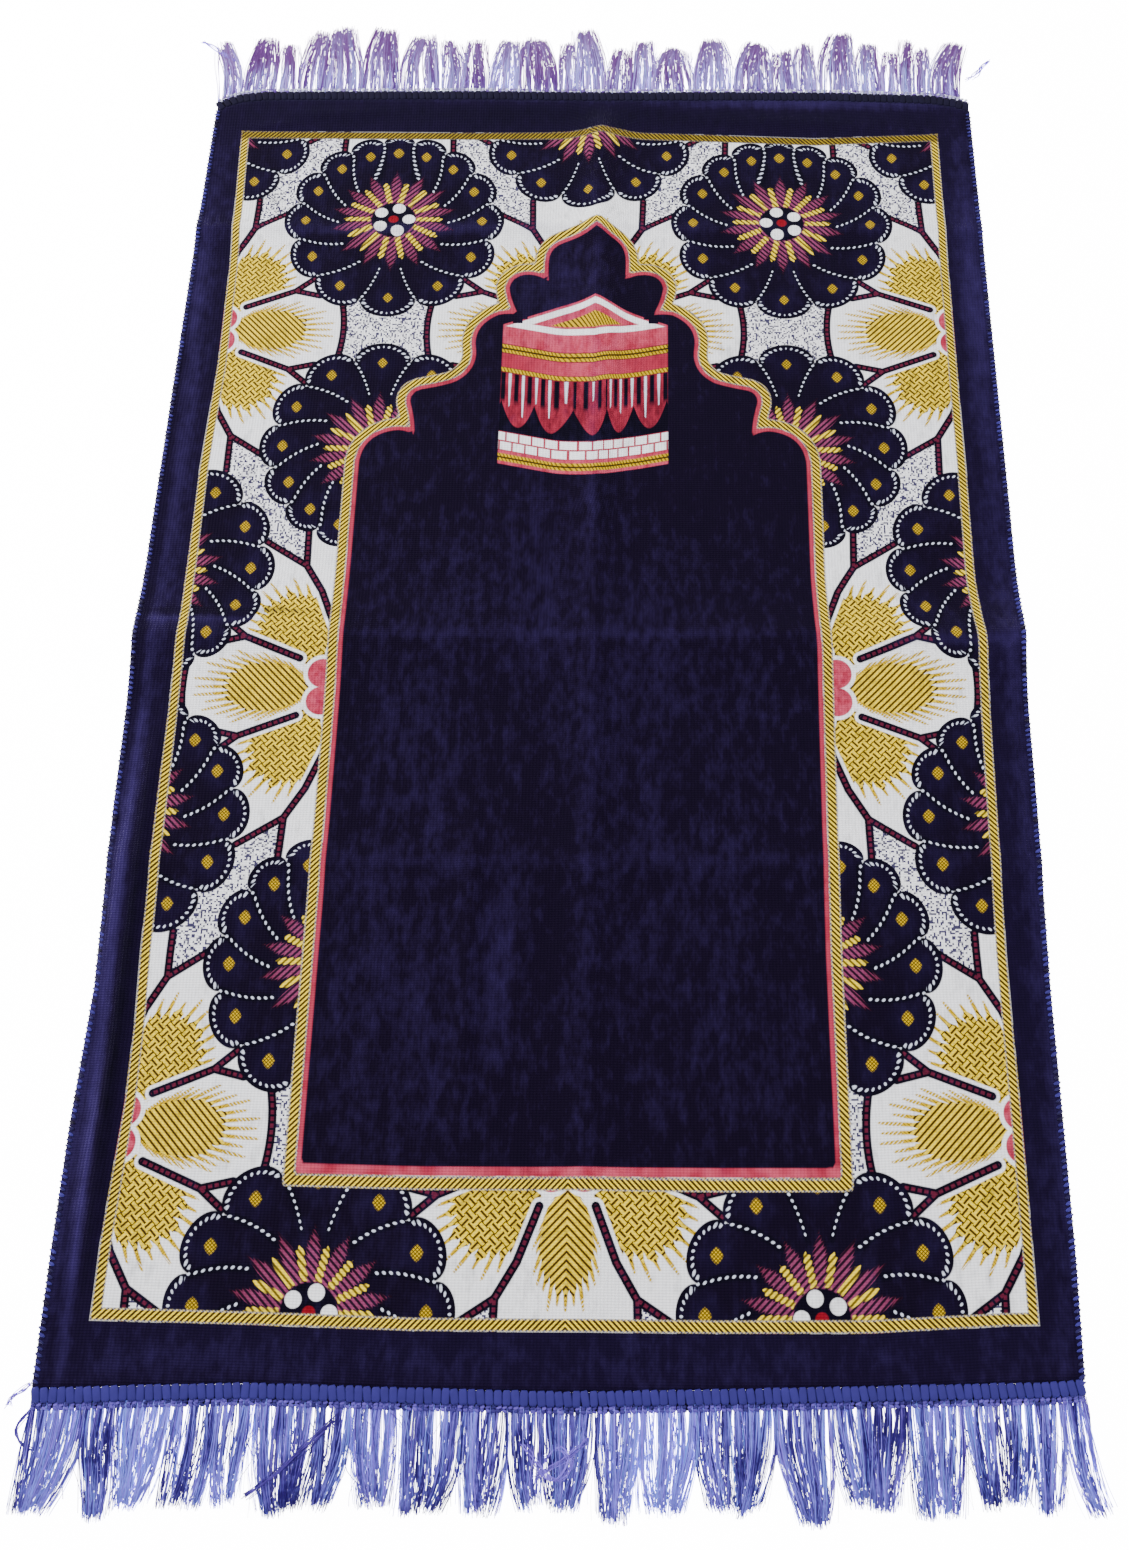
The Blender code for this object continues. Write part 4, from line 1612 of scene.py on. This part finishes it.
def model_loose_threads():
    """Curls, loops and crossing wisps that lie beside and over the fringes."""
    chance = np.random.RandomState(77)
    paths, radii, shades = [], [], []
    fine = np.linspace(0.0, 1.0, WISP_POINTS)

    def lay(x, y, z, thickness, shade):
        paths.append(np.stack([x, y, z], axis=1))
        radii.append(np.full(WISP_POINTS, WISP_RADIUS * thickness))
        shades.append(np.full(WISP_POINTS, np.clip(shade, 0.0, 1.0)))

    for threads, spread, shade, route in WISPS:
        route = np.array(route) / 1000.0
        knots = np.linspace(0.0, 1.0, len(route))
        for thread in range(threads):
            shift = chance.normal(0.0, spread, (len(route), 2)) / 1000.0
            x = smooth_line(knots, route[:, 0] + shift[:, 0], fine)
            y = smooth_line(knots, route[:, 1] + shift[:, 1], fine)
            z = smooth_line(knots, route[:, 2], fine) + abs(chance.normal(0.0, WISP_LIFT))
            lay(x, y, z, 1.0, shade + chance.normal(0.0, 0.12))
    for end, (threads, run_across, shade) in CROSSING.items():
        facing, lock_length = ENDS[end][:2]
        for thread in range(threads):
            start = chance.uniform(-CROSSING_SIDE, CROSSING_SIDE)
            turn = chance.uniform(-run_across, run_across)
            x = start + turn * fine + 0.002 * np.sin(fine * chance.uniform(3.0, 8.0))
            first = chance.uniform(0.05, 0.45) * lock_length
            last = min(first + chance.uniform(0.3, 0.6) * lock_length, lock_length * 0.94)
            y = facing * (RUG_LENGTH / 2 - 0.002 + first + (last - first) * fine)
            z = CROSSING_HEIGHTS[0] - CROSSING_HEIGHTS[1] * fine
            lay(x, y, z, chance.uniform(0.45, 1.0), shade + chance.normal(0.0, 0.15))
    tints = np.full((len(paths), WISP_POINTS), TINT[0])
    return thread_tubes("loose_wisps", paths, radii, shades, tints)


def smooth_line(knots, values, places):
    """A smooth curve through the values at the knots, read at the places."""
    slopes = np.gradient(values, knots)
    index = np.clip(np.searchsorted(knots, places) - 1, 0, len(knots) - 2)
    width = knots[index + 1] - knots[index]
    t = (places - knots[index]) / width
    start, end = values[index], values[index + 1]
    rise, fall = slopes[index] * width, slopes[index + 1] * width
    return (
        (2 * t**3 - 3 * t**2 + 1) * start
        + (t**3 - 2 * t**2 + t) * rise
        + (3 * t**2 - 2 * t**3) * end
        + (t**3 - t**2) * fall
    )


# ==== settings


def count_setting(name, description, default):
    return IntProperty(name=name, description=description, default=default)


def share_setting(name, description, default):
    return FloatProperty(name=name, description=description, default=default)


def length_setting(name, description, default):
    return FloatProperty(name=name, description=description, default=default, unit="LENGTH")


def colour_setting(name, description, default):
    return FloatVectorProperty(
        name=name, description=description, default=default, subtype="COLOR", min=0, max=1
    )


class PRAYERRUG_PG_cloth(PropertyGroup):
    """Sizes of the woven cloth"""

    cells_across: count_setting("Cells Across", "Cells over the width of the cloth", 168)
    cells_along: count_setting("Cells Along", "Cells over the length of the cloth", 264)
    crease_give: length_setting(
        "Crease Give", "How far the underside stays below a small crease", 0.0004
    )
    rim_bulge: length_setting(
        "Rim Bulge", "How far the cut edge stands out in the middle of its thickness", 0.0006
    )


class PRAYERRUG_PG_fringe(PropertyGroup):
    """Sizes of the fringe threads"""

    threads_per_lock: count_setting("Threads per Lock", "Threads in one lock", 40)
    strands: count_setting("Strands", "Strands that the threads of a lock make up", 7)
    stray_threads: count_setting("Stray Threads", "Thin loose threads beside a lock", 9)
    stray_scatter: share_setting("Stray Scatter", "How much wider stray tips scatter", 3.0)
    gather_growth: share_setting("Gather", "How tightly a clump draws in", 1.35)
    belly_spread: share_setting("Belly", "How much wider a lock is in its middle", 0.75)
    thread_layers: count_setting("Layers", "Layers of threads that lie on each other", 4)
    thread_points: count_setting("Thread Points", "Points along one thread", 7)
    thread_radius: length_setting("Thread Radius", "Radius of one thread", 0.00036)
    layer_rise: length_setting("Layer Rise", "Height from one layer to the next", 0.00045)
    thread_lift: length_setting("Thread Lift", "Most that a thread bows up off the floor", 0.0012)
    root_spread: share_setting("Root Spread", "Share of the pitch filled at the root", 0.78)
    tip_spread: share_setting("Tip Spread", "Share of the pitch filled at the tip", 1.25)
    tip_scatter: length_setting("Tip Scatter", "Sideways scatter of the tips", 0.0019)
    shortest_thread: share_setting(
        "Shortest Thread", "Shortest thread as a share of its lock", 0.90
    )


class PRAYERRUG_PG_sewing(PropertyGroup):
    """Pitches of the sewing along the edges"""

    pad_pitch: length_setting("Pad Pitch", "From one satin pad to the next", 0.0056)
    chain_pitch: length_setting("Chain Pitch", "From one chain stitch to the next", 0.0036)
    overcast_pitch: length_setting(
        "Overcast Pitch", "From one overcast stitch to the next", 0.0040
    )


class PRAYERRUG_PG_palette(PropertyGroup):
    """Colours of the yarns"""

    navy: colour_setting("Navy", "Pile of the field and the petals", (0.0042, 0.0018, 0.0100))
    navy_border: colour_setting("Border Navy", "Pile of the outer border", (0.0056, 0.0026, 0.0165))
    navy_soft: colour_setting(
        "Soft Navy", "Lighter pile round the petals' spots", (0.0066, 0.0034, 0.021)
    )
    navy_dark: colour_setting("Dark Navy", "Outlines and shadows", (0.0024, 0.0014, 0.0065))
    # colour of the painted sheen on the pile
    navy_painted_sheen: colour_setting(
        "Brushed Navy", "Pile brushed against the light", (0.032, 0.019, 0.105)
    )
    white: colour_setting("White", "Ground of the flower band", (0.86, 0.86, 0.90))
    pearl: colour_setting("Pearl", "Pearls round the petals", (0.62, 0.66, 0.80))
    speck: colour_setting("Speck", "Grey specks of the stippled ground", (0.045, 0.04, 0.09))
    gold: colour_setting("Gold", "Gold yarn", (0.56, 0.36, 0.003))
    # painted highlight on the crests of the gold yarn
    gold_highlight: colour_setting("Bright Gold", "Crests of the gold yarn", (0.86, 0.63, 0.025))
    gold_dark: colour_setting("Dark Gold", "Gaps between gold yarns", (0.030, 0.014, 0.003))
    pink: colour_setting("Pink", "Pink pile", (0.47, 0.060, 0.105))
    crimson: colour_setting("Crimson", "Crimson pile", (0.31, 0.022, 0.046))
    crimson_deep: colour_setting("Deep Crimson", "Shaded crimson pile", (0.14, 0.009, 0.020))
    magenta: colour_setting("Magenta", "Flames of the rosettes", (0.22, 0.040, 0.105))
    maroon: colour_setting("Maroon", "Dashes of the stems", (0.095, 0.009, 0.026))
    red: colour_setting("Red", "Middle of the rosettes", (0.20, 0.004, 0.010))
    sheen: colour_setting("Sheen", "Sheen of the pile", (0.45, 0.45, 1.0))
    back_dark: colour_setting("Back Dark", "Darker yarn of the underside", (0.02, 0.015, 0.06))
    back_light: colour_setting("Back Light", "Lighter yarn of the underside", (0.16, 0.13, 0.22))
    satin: colour_setting("Satin", "Satin of the near heading", (0.032, 0.024, 0.19))
    satin_dark: colour_setting(
        "Dark Satin", "Shaded satin of the near heading", (0.016, 0.012, 0.095)
    )
    chain: colour_setting("Chain", "Chain stitches of the near heading", (0.12, 0.08, 0.46))
    far_satin: colour_setting("Far Satin", "Satin of the far heading", (0.007, 0.005, 0.026))
    silk: colour_setting("Silk", "Light silk of the near fringe", (0.32, 0.21, 1.00))
    silk_dark: colour_setting("Dark Silk", "Shaded silk of the near fringe", (0.022, 0.006, 0.15))
    silk_cool: colour_setting("Cool Silk", "Bluer threads among the silk", (0.15, 0.36, 1.00))
    far_silk: colour_setting("Far Silk", "Light silk of the far fringe", (0.62, 0.42, 1.00))
    far_silk_dark: colour_setting(
        "Dark Far Silk", "Shaded silk of the far fringe", (0.10, 0.03, 0.28)
    )
    far_cool: colour_setting(
        "Cool Far Silk", "Bluer threads among the far silk", (0.26, 0.46, 1.00)
    )
    tip: colour_setting("Tip", "Tips of the far fringe", (0.17, 0.050, 0.24))


class PRAYERRUG_PG_stage(PropertyGroup):
    """Floor and light"""

    floor_size: length_setting("Floor Size", "Side of the floor", 8.0)
    sky_strength: share_setting("Sky Strength", "Strength of the light from all round", 1.3)
    lamp_power: share_setting("Lamp Power", "Power of the key lamp", 66.0)
    floor_glow: share_setting("Floor Glow", "Light that the pale floor gives back", 14.0)


# ==== operators


def give(piece, *materials):
    """Put materials in a piece's slots."""
    for material in materials:
        piece.data.materials.append(material)


class PRAYERRUG_OT_cloth(Operator):
    """Weave the rug's velvet cloth"""

    bl_idname = "prayer_rug.cloth"
    bl_label = "Velvet Cloth"

    def execute(self, context):
        bpy.ops.object.select_all(action="DESELECT")
        cloth = model_cloth(context.scene.rug_cloth)
        give(cloth, *cloth_finishes(context.scene.rug_palette))
        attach(cloth, "root")
        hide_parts("rug_cloth")
        return {"FINISHED"}


class PRAYERRUG_OT_headings(Operator):
    """Sew the taped headings at both ends"""

    bl_idname = "prayer_rug.headings"
    bl_label = "Headings"

    def execute(self, context):
        sewing = context.scene.rug_sewing
        palette = context.scene.rug_palette
        satins = {
            "fringe_near": (palette.satin_dark, palette.satin, 0.62),
            "fringe_far": (palette.navy_dark, palette.far_satin, 0.85),
        }
        chains = {
            "fringe_near": (palette.satin_dark, palette.chain),
            "fringe_far": (palette.far_silk_dark, palette.pearl),
        }
        for end in ENDS:
            tape = model_heading_tape(end)
            weave = (palette.navy_dark, palette.navy_border, 0.8)
            give(tape, thread_finish(end + "_tape_weave", *weave))
            pads = model_heading_pads(end, sewing)
            give(pads, thread_finish(end + "_satin", *satins[end]))
            chain = model_edge_chain(end, sewing)
            give(chain, thread_finish(end + "_chain_thread", *chains[end], 0.4))
            for piece in (tape, pads, chain):
                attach(piece, "root")
                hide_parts(end)
        return {"FINISHED"}


class PRAYERRUG_OT_side_stitches(Operator):
    """Overcast both long edges"""

    bl_idname = "prayer_rug.side_stitches"
    bl_label = "Side Stitches"

    def execute(self, context):
        palette = context.scene.rug_palette
        finish = thread_finish("overcast_thread", palette.navy_border, palette.satin, 0.5)
        for side in (-1, 1):
            stitches = model_side_stitches(side, context.scene.rug_sewing)
            give(stitches, finish)
            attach(stitches, "root")
        return {"FINISHED"}


class PRAYERRUG_OT_fringes(Operator):
    """Hang the silky fringes at both ends"""

    bl_idname = "prayer_rug.fringes"
    bl_label = "Fringes"

    def execute(self, context):
        palette = context.scene.rug_palette
        far_colours = (palette.far_silk_dark, palette.far_silk, 0.42)
        silks = {
            "fringe_near": (palette.silk_dark, palette.silk, 0.36, None, palette.silk_cool),
            "fringe_far": (*far_colours, palette.tip, palette.far_cool),
        }
        for end in ENDS:
            fringe = model_fringe(end, context.scene.rug_fringe)
            give(fringe, thread_finish(end + "_silk", *silks[end]))
            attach(fringe, "root")
            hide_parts(end)
        return {"FINISHED"}


class PRAYERRUG_OT_loose_threads(Operator):
    """Scatter the curls and wisps that escape the fringes"""

    bl_idname = "prayer_rug.loose_threads"
    bl_label = "Loose Threads"

    def execute(self, context):
        wisps = model_loose_threads()
        palette = context.scene.rug_palette
        give(wisps, thread_finish("wisp_silk", palette.silk_dark, palette.silk, 0.38))
        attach(wisps, "root")
        return {"FINISHED"}


class PRAYERRUG_OT_stage(Operator):
    """Lay the pale floor, hang the lamps and set up the camera"""

    bl_idname = "prayer_rug.stage"
    bl_label = "Stage"

    def execute(self, context):
        stage = context.scene.rug_stage
        bpy.ops.object.select_all(action="DESELECT")
        bpy.ops.mesh.primitive_plane_add(size=stage.floor_size)
        floor = context.object
        floor.name = "floor"
        give(floor, floor_finish(stage.floor_glow))
        light_stage(stage)
        place_camera()
        return {"FINISHED"}


def light_stage(stage):
    world = bpy.data.worlds.new("studio")
    world.use_nodes = True
    background = world.node_tree.nodes["Background"]
    background.inputs["Color"].default_value = (1.0, 1.0, 1.0, 1.0)
    background.inputs["Strength"].default_value = stage.sky_strength
    bpy.context.scene.world = world
    for name, place, target, size, power in LAMPS:
        lamp = bpy.data.lights.new(name, "AREA")
        lamp.shape = "SQUARE"
        lamp.size = size
        lamp.energy = power * stage.lamp_power
        holder = bpy.data.objects.new(name, lamp)
        holder.location = place
        aim = Vector(target) - Vector(place)
        holder.rotation_euler = aim.to_track_quat("-Z", "Y").to_euler()
        bpy.context.scene.collection.objects.link(holder)


def place_camera():
    camera = bpy.data.cameras.new("camera")
    camera.lens = CAMERA_LENS
    camera.shift_x = CAMERA_SHIFT
    holder = bpy.data.objects.new("camera", camera)
    turned = Matrix.Rotation(CAMERA_TURN, 4, "Z") @ Matrix.Rotation(CAMERA_TILT, 4, "X")
    turned = turned @ Matrix.Rotation(CAMERA_ROLL, 4, "Z")
    holder.matrix_world = Matrix.Translation(CAMERA_PLACE) @ turned
    bpy.context.scene.collection.objects.link(holder)
    bpy.context.scene.camera = holder


OPERATORS = (
    PRAYERRUG_OT_cloth,
    PRAYERRUG_OT_headings,
    PRAYERRUG_OT_side_stitches,
    PRAYERRUG_OT_fringes,
    PRAYERRUG_OT_loose_threads,
    PRAYERRUG_OT_stage,
)


class PRAYERRUG_PT_panel(Panel):
    """Steps that build the rug"""

    bl_label = "Prayer Rug"
    bl_idname = "PRAYERRUG_PT_panel"
    bl_space_type = "VIEW_3D"
    bl_region_type = "UI"
    bl_category = "Prayer Rug"

    def draw(self, context):
        for step in OPERATORS:
            self.layout.operator(step.bl_idname)
        for settings, group in SETTINGS:
            box = self.layout.box()
            for name in group.__annotations__:
                box.prop(getattr(context.scene, settings), name)


SETTINGS = (
    ("rug_cloth", PRAYERRUG_PG_cloth),
    ("rug_fringe", PRAYERRUG_PG_fringe),
    ("rug_sewing", PRAYERRUG_PG_sewing),
    ("rug_palette", PRAYERRUG_PG_palette),
    ("rug_stage", PRAYERRUG_PG_stage),
)


def register():
    for name, group in SETTINGS:
        bpy.utils.register_class(group)
        setattr(bpy.types.Scene, name, PointerProperty(type=group))
    for step in OPERATORS:
        bpy.utils.register_class(step)
    bpy.utils.register_class(PRAYERRUG_PT_panel)


def unregister():
    bpy.utils.unregister_class(PRAYERRUG_PT_panel)
    for step in reversed(OPERATORS):
        bpy.utils.unregister_class(step)
    for name, group in reversed(SETTINGS):
        delattr(bpy.types.Scene, name)
        bpy.utils.unregister_class(group)


def main():
    register()
    for step in OPERATORS:
        group, name = step.bl_idname.split(".")
        getattr(getattr(bpy.ops, group), name)()


if __name__ == "__main__":
    main()
